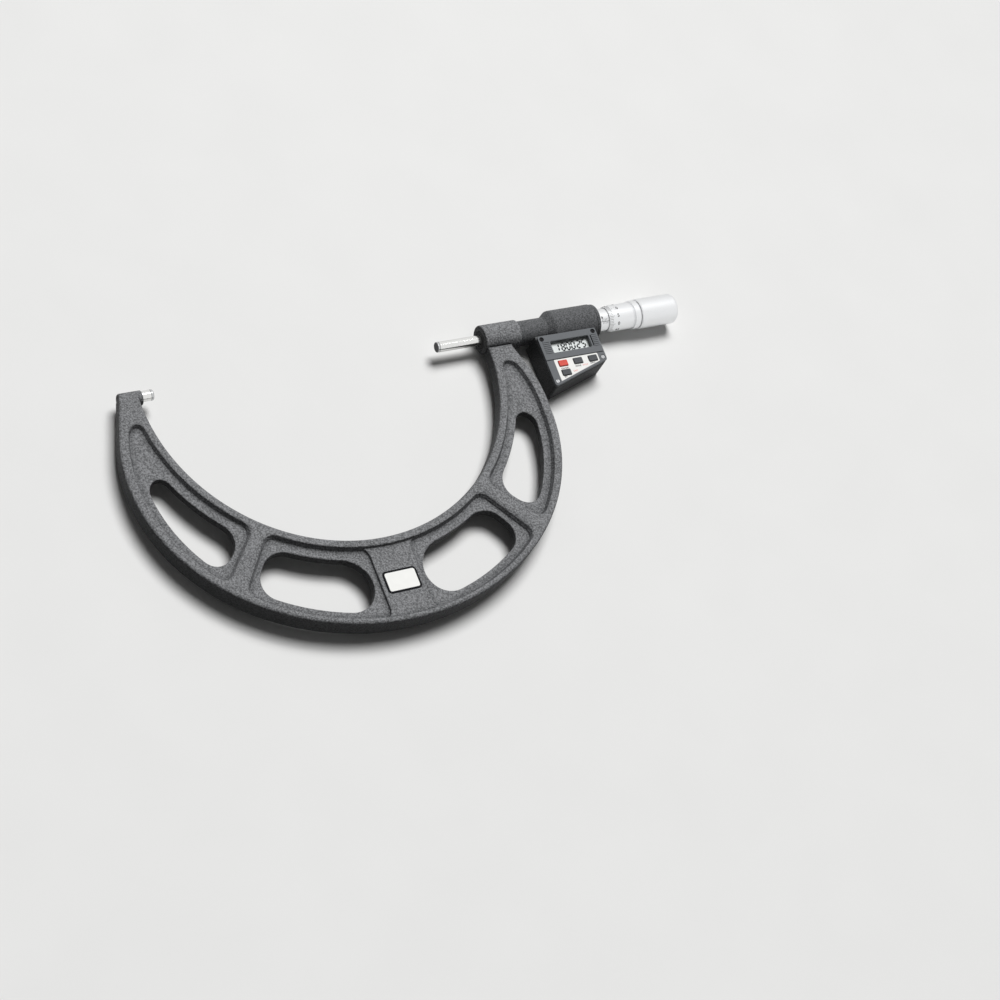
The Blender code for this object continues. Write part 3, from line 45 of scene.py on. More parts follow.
def colour(code):
    """A written sRGB colour as the linear light that shaders use."""
    channels = [int(code[i : i + 2], 16) / 255 for i in (1, 3, 5)]
    return [c / 12.92 if c <= 0.04045 else ((c + 0.055) / 1.055) ** 2.4 for c in channels] + [1.0]


def add(tree, kind, inputs, **settings):
    """One node with its settings. An input is a value, or the output that feeds it."""
    made = tree.nodes.new(kind)
    for key, value in settings.items():
        setattr(made, key, value)
    for key, value in inputs.items():
        if isinstance(value, bpy.types.NodeSocket):
            tree.links.new(value, made.inputs[key])
        else:
            made.inputs[key].default_value = value
    return made


def start_finish(name, roughness, metallic=0.0, specular=0.25):
    """A new material, with its tree, its shader and the piece's own coordinates."""
    made = bpy.data.materials.new(name)
    made.use_nodes = True
    tree = made.node_tree
    shader = tree.nodes["Principled BSDF"]
    shader.inputs["Roughness"].default_value = roughness
    shader.inputs["Metallic"].default_value = metallic
    shader.inputs["Specular IOR Level"].default_value = 0.5 if metallic else specular
    place = add(tree, "ShaderNodeTexCoord", {}).outputs["Object"]
    return made, tree, shader, place


def piece_from(name, bm, finish, edge_angle=35):
    """A shaded object from a bmesh, with its faces turned outwards."""
    bmesh.ops.remove_doubles(bm, verts=bm.verts, dist=1e-7)
    bmesh.ops.recalc_face_normals(bm, faces=bm.faces)
    mesh = bpy.data.meshes.new(name)
    bm.to_mesh(mesh)
    bm.free()
    mesh.shade_smooth()
    mesh.set_sharp_from_angle(angle=math.radians(edge_angle))
    piece = bpy.data.objects.new(name, mesh)
    bpy.context.scene.collection.objects.link(piece)
    mesh.materials.append(finish)
    return piece


def baked(piece):
    """Puts what the piece's modifiers make into its own mesh, and removes them."""
    bpy.context.view_layer.update()
    shown = piece.evaluated_get(bpy.context.evaluated_depsgraph_get())
    piece.data = bpy.data.meshes.new_from_object(shown)
    piece.data.name = piece.name
    piece.modifiers.clear()


def settled(piece, edge_angle=35):
    """Bakes the piece, then weighs its normals so that flats stay flat beside their rounds."""
    baked(piece)
    piece.data.shade_smooth()
    piece.data.set_sharp_from_angle(angle=math.radians(edge_angle))
    weigh = piece.modifiers.new("weigh", "WEIGHTED_NORMAL")
    weigh.keep_sharp = True
    baked(piece)


def fit(piece, body, slot, *nodes):
    """The piece rides on a body and stands for these nodes. The slot is not used."""
    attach(piece, body)
    if nodes:
        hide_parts(*nodes)


def combine(piece, other, operation):
    """Cuts another shape from the piece, or joins it on, and removes that shape."""
    step = piece.modifiers.new(other.name, "BOOLEAN")
    step.operation = operation
    step.solver = "EXACT"
    step.object = other
    baked(piece)
    bpy.data.objects.remove(other)


def ring(bm, outline, inset, height):
    """A loop of vertices on a counter-clockwise outline, moved inwards, at one height."""
    loop = []
    count = len(outline)
    for i in range(count):
        before = (outline[i] - outline[i - 1]).normalized()
        after = (outline[(i + 1) % count] - outline[i]).normalized()
        left_before = Vector((-before.y, before.x))
        left_after = Vector((-after.y, after.x))
        mitre = (left_before + left_after) / (1.0 + left_before.dot(left_after))
        place = outline[i] + mitre * inset
        loop.append(bm.verts.new((place.x, place.y, height)))
    return loop


def loft(bm, loops):
    """Faces between closed loops of equal length, one after another."""
    for lower, upper in zip(loops, loops[1:]):
        count = len(lower)
        for i in range(count):
            j = (i + 1) % count
            bm.faces.new((lower[i], lower[j], upper[j], upper[i]))


def fill(bm, loops):
    """A flat face inside the first loop, with the other loops as holes in it."""
    edges = []
    for loop in loops:
        edges += [bm.edges.get((loop[i - 1], loop[i])) for i in range(len(loop))]
    bmesh.ops.triangle_fill(bm, use_beauty=True, edges=edges)


def closed(bm, loops):
    """A closed solid, with walls between the loops and a flat face at either end."""
    loft(bm, loops)
    fill(bm, loops[:1])
    fill(bm, loops[-1:])


def turned(name, profile, finish, steps=144):
    """A turned piece on the spindle's axis, from an (x, radius) profile."""
    bm = bmesh.new()
    points = [bm.verts.new((x, 0.0, radius)) for x, radius in profile]
    edges = [bm.edges.new(pair) for pair in zip(points, points[1:])]
    if profile[0][1] > 0.0:
        edges.append(bm.edges.new((points[-1], points[0])))
    bmesh.ops.spin(
        bm, geom=points + edges, cent=(0, 0, 0), axis=(1, 0, 0), angle=math.tau, steps=steps, use_merge=True
    )
    bmesh.ops.remove_doubles(bm, verts=bm.verts, dist=1e-7)
    middles = [vert for vert in bm.verts if vert.co.yz.length < 1e-7]
    bmesh.ops.dissolve_verts(bm, verts=middles)
    return piece_from(name, bm, finish)


def quarter(radius, steps):
    """How far in and how far down each step of a rounded edge lies, from the flat to the wall."""
    turns = [math.pi / 2 * step / steps for step in range(steps + 1)]
    return [(radius * (1.0 - math.sin(t)), radius * (1.0 - math.cos(t))) for t in turns]


# Wrinkle enamel on iron: a mid grey skin, shrunk as it dried into folds about 1 mm apart that
# scatter the light, paler on their crests than in between. Painted shade darkens the walls and the
# corners: nearby surfaces and steep walls pull the colour towards near black.
enamel, tree, shader, place = start_finish("wrinkle_enamel", 0.58, specular=0.12)
folds = add(
    tree,
    "ShaderNodeTexNoise",
    {"Vector": place, "Scale": 1 / 0.0010, "Detail": 2.0, "Roughness": 0.5, "Distortion": 0.6},
)
cloud = add(tree, "ShaderNodeTexNoise", {"Vector": place, "Scale": 1 / 0.018, "Detail": 3.0})
crest = add(
    tree,
    "ShaderNodeMapRange",
    {"Value": folds.outputs[0], "From Min": 0.38, "From Max": 0.62, "To Min": 0.0, "To Max": 0.85},
)
mottle = {0: cloud.outputs[0], 1: 0.30, 2: crest.outputs[0]}
tone = add(tree, "ShaderNodeMath", mottle, operation="MULTIPLY_ADD")
greys = {0: tone.outputs[0], 6: colour("#535455"), 7: colour("#8E8F91")}
paint = add(tree, "ShaderNodeMix", greys, data_type="RGBA")
# Painted shade: the colour darkens where other surfaces are close (ambient occlusion) and the steeper a wall
# stands.
corner = add(tree, "ShaderNodeAmbientOcclusion", {"Distance": 0.004}, samples=8, only_local=True)
corner_shade = add(
    tree,
    "ShaderNodeMapRange",
    {"Value": corner.outputs["AO"], "From Min": 0.50, "From Max": 0.96, "To Min": 0.94, "To Max": 0.0},
)
facing = add(tree, "ShaderNodeSeparateXYZ", {0: place.node.outputs["Normal"]})
flat = add(tree, "ShaderNodeMath", {0: facing.outputs[2]}, operation="ABSOLUTE")
steep_wall_shade = add(
    tree,
    "ShaderNodeMapRange",
    {"Value": flat.outputs[0], "From Min": 0.20, "From Max": 0.85, "To Min": 0.60, "To Max": 0.0},
)
painted_shade = add(tree, "ShaderNodeMath", {0: corner_shade.outputs[0], 1: steep_wall_shade.outputs[0]}, operation="MAXIMUM")
shade_tones = {0: painted_shade.outputs[0], 6: paint.outputs[2], 7: colour("#1A1B1D")}
skin = add(tree, "ShaderNodeMix", shade_tones, data_type="RGBA")
wrinkles = {"Height": folds.outputs[0], "Strength": 1.0, "Distance": 0.00075}
relief = add(tree, "ShaderNodeBump", wrinkles)
tree.links.new(skin.outputs[2], shader.inputs["Base Color"])
tree.links.new(relief.outputs[0], shader.inputs["Normal"])

mid_x = 0.1006
throat_radius = 0.1103
throat_drop = 0.0055
bow_half_width = 0.1336
bow_depth = 0.1140
bow_drop = 0.0540
bow_bottom = bow_drop + bow_depth
arm_straight = 0.0250
thick_at_bow = 0.0150
thick_at_arms = 0.0098
web_thick = 0.0066
pad_thick = 0.0108


def bow_reach(angle, half_width, depth):
    """Distance from the throat's centre to a bow ellipse, at an angle down from the anvil arm."""
    drop = bow_drop - throat_drop
    square = (math.cos(angle) / half_width) ** 2 + (math.sin(angle) / depth) ** 2
    lean = drop * math.sin(angle) / depth**2
    rest = (drop / depth) ** 2 - 1.0
    return (lean + math.sqrt(lean**2 - square * rest)) / square


def bow_point(angle, reach):
    """The point at an angle down from the anvil arm and a distance from the throat's centre."""
    return Vector((mid_x - reach * math.cos(angle), -throat_drop - reach * math.sin(angle)))


def bow_strip(first, last, inner, outer, first_corner, last_corner):
    """Outline of a stretch of the bow between two angles, an inner circle and an outer ellipse."""
    corner_steps = 10

    def reach(angle, share):
        return inner + share * (bow_reach(angle, *outer) - inner)

    def corner(end, inward, size, share):
        depth = min(0.5, size / (bow_reach(end, *outer) - inner))
        points = []
        for step in range(corner_steps + 1):
            turn = math.pi / 2 * step / corner_steps
            angle = end + inward * size * (1.0 - math.sin(turn)) / reach(end, share)
            across = abs(share - depth * (1.0 - math.cos(turn)))
            points.append(bow_point(angle, reach(angle, across)))
        return points

    def side(share):
        start = first + first_corner / reach(first, share)
        stop = last - last_corner / reach(last, share)
        count = max(2, round((stop - start) * inner / 0.0022))
        angles = [start + (stop - start) * i / count for i in range(1, count)]
        return [bow_point(angle, reach(angle, share)) for angle in angles]

    points = (
        corner(first, 1.0, first_corner, 1.0)[::-1]
        + side(1.0)
        + corner(last, -1.0, last_corner, 1.0)
        + corner(last, -1.0, last_corner, 0.0)[::-1]
        + side(0.0)[::-1]
        + corner(first, 1.0, first_corner, 0.0)
    )
    return [p for i, p in enumerate(points) if (p - points[i - 1]).length > 0.00005]


def mirrored(outline):
    """The same outline on the spindle's side of the frame, still counter-clockwise."""
    return [Vector((2 * mid_x - point.x, point.y)) for point in reversed(outline)]


def tapered(bm):
    """Thins a shape built at the bow's thickness towards the ends of the arms."""
    for vert in bm.verts:
        thick = thick_at_arms - (thick_at_bow - thick_at_arms) * vert.co.y / bow_bottom
        vert.co.z *= thick / thick_at_bow


rise = (bow_drop - arm_straight) / bow_depth
arm_turn = math.asin(rise)
arm_lean = bow_half_width * rise / (bow_depth * math.cos(arm_turn))
arm = []
for step in range(10):
    drop = arm_straight * step / 10
    x = mid_x - bow_half_width * math.cos(arm_turn) + arm_lean * (arm_straight - drop)
    arm.append(Vector((x, -drop)))
bow = []
for step in range(171):
    turn = -arm_turn + (math.pi + 2 * arm_turn) * step / 170
    x = mid_x - bow_half_width * math.cos(turn)
    bow.append(Vector((x, -bow_drop - bow_depth * math.sin(turn))))
throat = [bow_point(math.pi * step / 140, throat_radius) for step in range(139, -1, -1)]
throat.append(Vector((mid_x - throat_radius, 0.0)))
short_arm = [Vector((2 * mid_x - p.x, p.y)) for p in reversed(arm) if p.y < throat[0].y]
short_arm.append(Vector((short_arm[-1].x, throat[0].y)))


spread_most, spread_drop, arm_width = 0.0032, 0.0550, 0.0200


def spread(outline):
    """Widens the spindle's arm towards the hub, more at its outer edge than at the throat."""
    placed = []
    for point in outline:
        share = max(0.0, 1.0 + point.y / spread_drop)
        edge = mid_x + math.sqrt(max(0.0, throat_radius**2 - (point.y + throat_drop) ** 2))
        across = max(0.0, point.x - edge) / arm_width
        placed.append(point + Vector((spread_most * share * across, 0.0)))
    return placed


skin_outline = arm + spread(bow + short_arm) + throat

pocket_sides = throat_radius + 0.0048, (bow_half_width - 0.0056, bow_depth - 0.0032)
window_sides = throat_radius + 0.0112, (bow_half_width - 0.0111, bow_depth - 0.0087)
arm_pocket_drop, arm_window_drop = 0.0188, 0.0520
spoke_angle = math.radians(52.5)
pocket_turn = 0.0040 / pocket_sides[0]
window_turn = 0.0080 / window_sides[0]
pad_turn = 0.1190
arm_pocket = bow_strip(
    math.asin((arm_pocket_drop - throat_drop) / pocket_sides[0]),
    spoke_angle - pocket_turn,
    *pocket_sides,
    first_corner=0.0042,
    last_corner=0.0068,
)
bow_pocket = bow_strip(
    spoke_angle + pocket_turn,
    math.pi - spoke_angle - pocket_turn,
    *pocket_sides,
    first_corner=0.0062,
    last_corner=0.0062,
)
arm_window = bow_strip(
    math.asin((arm_window_drop - throat_drop) / window_sides[0]),
    spoke_angle - window_turn,
    *window_sides,
    first_corner=0.0058,
    last_corner=0.0120,
)
bow_window = bow_strip(
    spoke_angle + window_turn,
    math.pi / 2 - pad_turn,
    *window_sides,
    first_corner=0.0120,
    last_corner=0.0160,
)
half = thick_at_bow / 2
web = web_thick / 2
rim_edge, rim_crest, wall_draft, foot, window_lip = 0.0020, 0.0010, 0.0008, 0.0012, 0.0008
swell_out, swell_down, swell_reach = 2.2, 0.8, 0.0065


def swollen(loop, outline, face, depth):
    """Widens and deepens the round of a pocket's edge where it meets a spoke."""
    centre = Vector((mid_x, -throat_drop))
    for vert, point in zip(loop, outline):
        offset = point - centre
        angle = math.atan2(-offset.y, -offset.x)
        off_spoke = abs(min(angle, math.pi - angle) - spoke_angle) - pocket_turn
        near = min(1.0, max(0.0, 1.0 - off_spoke * offset.length / swell_reach))
        share = near**2 * (3.0 - 2.0 * near)
        place = point + (vert.co.xy - point) * (1.0 + swell_out * share)
        vert.co = (place.x, place.y, face * (half - depth * (1.0 + swell_down * share)))
    return loop


bm = bmesh.new()
middle_loops = {}
window_loops = {}
for face in (1, -1):
    skin = [ring(bm, skin_outline, down, face * (half - up)) for up, down in quarter(rim_edge, 6)]
    loft(bm, skin)
    middle_loops[face] = skin[0]
    mouths, floors = [], []
    for pocket in (arm_pocket, bow_pocket, spread(mirrored(arm_pocket))):
        edge_round = quarter(rim_crest, 8)
        walls = [swollen(ring(bm, pocket, -i, 0.0), pocket, face, d) for i, d in edge_round]
        for up, run in quarter(foot, 5):
            walls.append(ring(bm, pocket, wall_draft + run, face * (web + up)))
        loft(bm, walls)
        mouths.append(walls[0])
        floors.append(walls[-1])
    holes = []
    window_loops[face] = []
    for window in (arm_window, bow_window, mirrored(bow_window), mirrored(arm_window)):
        lips = [ring(bm, window, -i, face * (web - d)) for i, d in quarter(window_lip, 5)]
        loft(bm, lips)
        holes.append(lips[0])
        window_loops[face].append(lips[-1])
    fill(bm, [skin[-1], *mouths])
    fill(bm, [floors[0], holes[0]])
    fill(bm, [floors[1], holes[1], holes[2]])
    fill(bm, [floors[2], holes[3]])
loft(bm, [middle_loops[-1], middle_loops[1]])
for front, back in zip(window_loops[1], window_loops[-1]):
    loft(bm, [back, front])
tapered(bm)
casting = piece_from("frame_casting", bm, enamel)
bm = bmesh.new()
pad_half, pad_top, pad_bottom, pad_edge, pad_foot = 0.0129, -0.1196, -0.1639, 0.0008, 0.0010
flare_x, flare_y = 0.0042, 0.0065
flare = [math.pi / 2 * step / 10 for step in range(11)]
pad_side = [Vector((pad_half + flare_x, pad_bottom - 0.0020))]
for turn in reversed(flare):
    across = pad_half + flare_x * (1.0 - math.cos(turn))
    pad_side.append(Vector((across, pad_bottom + flare_y * (1.0 - math.sin(turn)))))
for turn in flare:
    across = pad_half + flare_x * (1.0 - math.cos(turn))
    pad_side.append(Vector((across, pad_top - flare_y * (1.0 - math.sin(turn)))))
pad_side.append(Vector((pad_half + flare_x, pad_top + 0.0016)))
pad = [Vector((mid_x + p.x, p.y)) for p in pad_side]
pad += mirrored(pad)
pad_loops = []
for face in (-1, 1):
    side = [ring(bm, pad, i, face * (pad_thick / 2 - d)) for i, d in quarter(pad_edge, 5)]
    side += [ring(bm, pad, -i, face * (web + up)) for up, i in quarter(pad_foot, 5)]
    pad_loops += side[::-face]
closed(bm, pad_loops)
tapered(bm)
combine(casting, piece_from("pad", bm, enamel), "UNION")


def rounded(corners, radii, steps=8):
    """A counter-clockwise polygon, each corner turned by an arc of its own radius or left sharp."""
    outline = []
    count = len(corners)
    for i in range(count):
        corner = Vector(corners[i])
        if not radii[i]:
            outline.append(corner)
            continue
        to_last = (Vector(corners[i - 1]) - corner).normalized()
        to_next = (Vector(corners[(i + 1) % count]) - corner).normalized()
        half_turn = to_last.angle(to_next) / 2
        centre = corner + (to_last + to_next).normalized() * (radii[i] / math.sin(half_turn))
        first = corner + to_last * (radii[i] / math.tan(half_turn)) - centre
        for step in range(steps + 1):
            turn = (math.pi - 2 * half_turn) * step / steps
            outline.append(centre + Matrix.Rotation(turn, 2) @ first)
    return outline


def rectangle(left, bottom, right, top, radius):
    """A rectangle with round corners, counter-clockwise."""
    return rounded([(left, bottom), (right, bottom), (right, top), (left, top)], [radius] * 4)


plate_y, plate_half_width, plate_half_height, plate_corner = -0.1433, 0.0103, 0.0067, 0.0022
plate_outline = rectangle(
    mid_x - plate_half_width,
    plate_y - plate_half_height,
    mid_x + plate_half_width,
    plate_y + plate_half_height,
    plate_corner,
)
bm = bmesh.new()
recess = [
    ring(bm, plate_outline, -0.0003, pad_thick / 2 - 0.0006),
    ring(bm, plate_outline, -0.0003, pad_thick / 2 + 0.0010),
]
closed(bm, recess)
tapered(bm)
combine(casting, piece_from("recess", bm, enamel), "DIFFERENCE")

hub_face, hub_end, hub_radius = 0.2100, 0.2345, 0.0088
hub_profile = [(hub_face, 0.0)]
hub_profile += [(hub_face + i, hub_radius - d) for i, d in quarter(0.0008, 4)[::-1]]
hub_profile += [(hub_end - 0.0003, hub_radius), (hub_end, hub_radius - 0.0003), (hub_end, 0.0)]
boss_face, boss_end, boss_radius, boss_sag = -0.0070, -0.0206, 0.0043, 0.0007
boss_profile = [(boss_face, 0.0), (boss_face, boss_radius - 0.0003), (boss_face - 0.0003, boss_radius)]
boss_profile += [(boss_end + i, boss_radius - d) for i, d in quarter(0.0012, 6)]
boss_profile.append((boss_end, 0.0))
boss = turned("boss", boss_profile, enamel)
boss.data.transform(Matrix.Translation((0.0, -boss_sag, 0.0)))
combine(casting, boss, "UNION")
combine(casting, turned("hub", hub_profile, enamel), "UNION")
hub_bore = [(0.2080, 0.0), (0.2080, 0.0055), (0.2365, 0.0055), (0.2365, 0.0)]
combine(casting, turned("hub_bore", hub_bore, enamel), "DIFFERENCE")
anvil_hole = [(-0.0185, 0.0), (-0.0185, 0.0033), (-0.0045, 0.0033), (-0.0045, 0.0)]
combine(casting, turned("anvil_hole", anvil_hole, enamel), "DIFFERENCE")
settled(casting)
fit(casting, "frame_body", "wrinkle_enamel", "frame")

# Name plate: a plate bonded into a recess in the pad, with a bare white field printed on it. Its
# black rim of about 1 mm round the field is painted shadow of the gap round the plate.


def mottled(name, roughness, grain, dark, pale, detail=2.0, **kind):
    """A finish in two tones of one colour, mixed by a grain of this size."""
    made, tree, shader, place = start_finish(name, roughness, **kind)
    noise = add(tree, "ShaderNodeTexNoise", {"Vector": place, "Scale": 1 / grain, "Detail": detail})
    tones = {0: noise.outputs[0], 6: colour(dark), 7: colour(pale)}
    mixed = add(tree, "ShaderNodeMix", tones, data_type="RGBA")
    tree.links.new(mixed.outputs[2], shader.inputs["Base Color"])
    return made, tree, shader, noise


# White lacquer: smooth and slightly glossy, faintly uneven where it has been wiped.
white_lacquer, tree, shader, wipe = mottled("white_lacquer", 0.38, 0.004, "#E6E6E3", "#F0F0ED", 4.0)
gloss = add(tree, "ShaderNodeMapRange", {"Value": wipe.outputs[0], "To Min": 0.30, "To Max": 0.46})
tree.links.new(gloss.outputs[0], shader.inputs["Roughness"])

# Black printing ink: a thin matt film that lets a little of its ground show.
black_ink = mottled("black_ink", 0.70, 0.0004, "#0E0E10", "#232427", specular=0.1)[0]

bm = bmesh.new()
plate_back = pad_thick / 2 - 0.0003
plate_steps = (0.0, 0.0), (0.0, 0.0005), (0.0001, 0.0006)
plate_loops = [ring(bm, plate_outline, inset, plate_back + up) for inset, up in plate_steps]
closed(bm, plate_loops)
tapered(bm)
# The black plate shows only as a rim round the white field: painted shadow of the gap round it.
name_plate = piece_from("name_plate_shadow_rim", bm, black_ink)
settled(name_plate)
fit(name_plate, "frame_body", "black_steel", "name_plate")


def printed(bm, loops, height, thick=0.00002):
    """A thin printed shape inside the first outline and outside the others, at one height."""
    sides = []
    for outline, inset in loops:
        sides.append([ring(bm, outline, inset, height), ring(bm, outline, inset, height + thick)])
        loft(bm, sides[-1])
    fill(bm, [side[0] for side in sides])
    fill(bm, [side[1] for side in sides])


bm = bmesh.new()
printed(bm, [(plate_outline, 0.0010)], plate_back + 0.0006)
tapered(bm)
plate_field = piece_from("name_plate_field", bm, white_lacquer)
fit(plate_field, "frame_body", "white_plate")

# Anvil and spindle: hardened rods, ground and lapped bright, each with a hard metal tip brazed on.
# The anvil is pressed into the boss, and the spindle slides and turns through the hub.

# Ground steel: bright, with rings left by the grinding wheel, here about 0.25 mm apart so that
# they show.
ground_steel, tree, shader, place = start_finish("ground_steel", 0.24, 1.0)
rings = add(tree, "ShaderNodeMapping", {"Vector": place, "Scale": (4000.0, 60.0, 60.0)})
lines = add(tree, "ShaderNodeTexNoise", {"Vector": rings.outputs[0], "Scale": 1.0, "Detail": 2.0})
tones = {0: lines.outputs[0], 6: colour("#D3D3D1"), 7: colour("#EAEAE8")}
metal = add(tree, "ShaderNodeMix", tones, data_type="RGBA")
polish = add(tree, "ShaderNodeMapRange", {"Value": lines.outputs[0], "To Min": 0.10, "To Max": 0.24})
tree.links.new(metal.outputs[2], shader.inputs["Base Color"])
tree.links.new(polish.outputs[0], shader.inputs["Roughness"])

# Hard metal: an even fine grain, ground pale on the rim. The lapped face across the axis is painted
# nearly black as a painted reflection of a dark surround.
hard_metal, tree, shader, place = start_finish("hard_metal", 0.22, 1.0)
grit = add(tree, "ShaderNodeTexNoise", {"Vector": place, "Scale": 1 / 0.0002, "Detail": 2.0})
tones = {0: grit.outputs[0], 6: colour("#BCBDBE"), 7: colour("#CFD0D1")}
rim = add(tree, "ShaderNodeMix", tones, data_type="RGBA")
# Painted reflection: the more a face points along the axis, the nearer to black it is painted.
facing = add(tree, "ShaderNodeSeparateXYZ", {0: place.node.outputs["Normal"]})
painted_reflection = add(tree, "ShaderNodeMath", {0: facing.outputs[0]}, operation="ABSOLUTE")
tones = {0: painted_reflection.outputs[0], 6: rim.outputs[2], 7: colour("#1E1F21")}
metal = add(tree, "ShaderNodeMix", tones, data_type="RGBA")
tree.links.new(metal.outputs[2], shader.inputs["Base Color"])


def softened(piece, width, segments=2):
    """Rounds the piece's sharp edges by this width."""
    step = piece.modifiers.new("soften", "BEVEL")
    step.width = width
    step.segments = segments
    step.limit_method = "ANGLE"
    step.angle_limit = math.radians(35)
    step.use_clamp_overlap = True
    settled(piece)


rod = 0.003175
anvil_profile = [(-0.0182, 0.0), (-0.0182, rod), (-0.0016, rod), (-0.0016, 0.0)]
anvil = turned("anvil_rod", anvil_profile, ground_steel)
softened(anvil, 0.0001)
fit(anvil, "frame_body", "ground_steel", "anvil")
tip_profile = [(-0.0015, 0.0), (-0.0015, rod), (-0.0003, rod), (0.0, rod - 0.0003), (0.0, 0.0)]
anvil_tip = turned("anvil_tip_disc", tip_profile, hard_metal)
softened(anvil_tip, 0.00006)
fit(anvil_tip, "frame_body", "carbide", "anvil_tip")
reading = 0.180025
spindle_tip = turned("spindle_tip_disc", [(reading - x, radius) for x, radius in tip_profile], hard_metal)
softened(spindle_tip, 0.00006)
fit(spindle_tip, "spindle_body", "carbide", "spindle_tip")
shaft_profile = [(reading + 0.0016, 0.0), (reading + 0.0016, rod), (0.2830, rod), (0.2836, 0.0039)]
shaft_profile += [(0.3274, 0.0039), (0.3280, 0.0030), (0.3397, 0.0030)]
shaft_profile += [(0.3397, 0.0018), (0.3317, 0.0018), (0.3317, 0.0)]
shaft = turned("spindle_shaft", shaft_profile, ground_steel)


def bar(name, low, high, finish):
    """A plain bar between two opposite corners."""
    bm = bmesh.new()
    bmesh.ops.create_cube(bm, size=1.0)
    low, high = Vector(low), Vector(high)
    bmesh.ops.scale(bm, vec=high - low, verts=bm.verts)
    bmesh.ops.translate(bm, vec=(low + high) / 2, verts=bm.verts)
    return piece_from(name, bm, finish)


keyway = bar("keyway", (0.2521, -0.0008, 0.002275), (0.2817, 0.0008, 0.0052), ground_steel)
combine(shaft, keyway, "DIFFERENCE")
settled(shaft)
fit(shaft, "spindle_body", "ground_steel", "spindle")

# Guide bush and wiper: a turned bronze bush pressed into the hub, and a rubber ring in front of it
# that keeps dirt off the spindle.

# Turned bronze: warm, with faint tool rings about 0.2 mm apart.
bronze, tree, shader, place = start_finish("turned_bronze", 0.34, 1.0)
rings = add(tree, "ShaderNodeMapping", {"Vector": place, "Scale": (5000.0, 80.0, 80.0)})
lines = add(tree, "ShaderNodeTexNoise", {"Vector": rings.outputs[0], "Scale": 1.0, "Detail": 2.0})
tones = {0: lines.outputs[0], 6: colour("#9C6F35"), 7: colour("#BC8A48")}
metal = add(tree, "ShaderNodeMix", tones, data_type="RGBA")
tree.links.new(metal.outputs[2], shader.inputs["Base Color"])

# Moulded nitrile rubber: black and dull, with a fine bloom.
rubber = mottled("nitrile_rubber", 0.75, 0.0008, "#151516", "#2A2A2B", 3.0)[0]

lip_profile = [(0.2101, 0.00325), (0.2099, 0.0037), (0.2102, 0.0053), (0.2119, 0.0053), (0.2119, 0.00325)]
wiper = turned("wiper_lip", lip_profile, rubber)
fit(wiper, "frame_body", "rubber", "wiper_ring")


def refinish(finish, *nodes):
    """Gives this finish to CAD nodes that stay as they are."""
    for node in nodes:
        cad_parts[node].data.materials[0] = finish


refinish(bronze, "spindle_bush")

# Head casing: a moulded housing in dark grey plastic. A neck, a cone and a barrel go round the
# spindle, and the display box stands on one side of the barrel.

# Moulded plastic with a spark-eroded skin: dark grey, matt, with an even grit about 0.8 mm across.
moulded_grey, tree, shader, place = start_finish("moulded_grey", 0.55, specular=0.1)
grain = {"Vector": place, "Scale": 1 / 0.0008, "Detail": 2.0, "Roughness": 0.7}
grit = add(tree, "ShaderNodeTexNoise", grain)
speckle = add(tree, "ShaderNodeMapRange", {"Value": grit.outputs[0], "From Min": 0.34, "From Max": 0.66})
tones = {0: speckle.outputs[0], 6: colour("#3F4041"), 7: colour("#6E6F71")}
plastic = add(tree, "ShaderNodeMix", tones, data_type="RGBA")
relief = add(tree, "ShaderNodeBump", {"Height": grit.outputs[0], "Strength": 0.35, "Distance": 0.0001})
tree.links.new(plastic.outputs[2], shader.inputs["Base Color"])
tree.links.new(relief.outputs[0], shader.inputs["Normal"])

neck_x, cone_x, barrel_x, barrel_end = 0.2348, 0.2535, 0.2580, 0.2875
barrel_radius = 0.0110
barrel_profile = [(0.2268, 0.0), (0.2268, 0.0052), (neck_x, 0.0052), (neck_x, 0.0073)]
barrel_profile += [(neck_x + 0.0003, 0.0076), (cone_x - 0.0005, 0.0076), (cone_x, 0.00775)]
barrel_profile += [(cone_x + 0.0005, 0.00805), (barrel_x - 0.0006, 0.01060), (barrel_x, 0.01088)]
barrel_profile.append((barrel_x + 0.0008, barrel_radius))
barrel_profile += [(barrel_end - i, barrel_radius - d) for i, d in quarter(0.0008, 4)]
barrel_profile.append((barrel_end, 0.0))
casing = turned("casing_shell", barrel_profile, moulded_grey)

panel_tilt = math.radians(3.0)
panel_x, panel_y, panel_z = 0.2431, -0.0083, 0.0080
panel = Matrix.Translation((panel_x, panel_y, panel_z)) @ Matrix.Rotation(panel_tilt, 4, "X")
panel_width, bezel_height = 0.0411, 0.0167
left_height, right_height = 0.0347, 0.0226


def slant(across):
    """How far below the panel's top its slanted bottom edge is."""
    return left_height + (right_height - left_height) * across / panel_width


def box_outline(inset, top):
    """Outline of the display box, moved inwards except at its top."""
    left, right = inset, panel_width - inset
    fall = inset / math.cos(math.atan((left_height - right_height) / panel_width))
    level = math.cos(panel_tilt)
    corners = [
        (panel_x + left, panel_y - (slant(left) - fall) * level),
        (panel_x + right, panel_y - (slant(right) - fall) * level),
        (panel_x + right, top),
        (panel_x + left, top),
    ]
    return rounded(corners, (0.0016, 0.0016, 0.0, 0.0))


def front_height(y, depth):
    """Height of a plane this far behind the panel's surface."""
    return panel_z + math.tan(panel_tilt) * (y - panel_y) - depth / math.cos(panel_tilt)


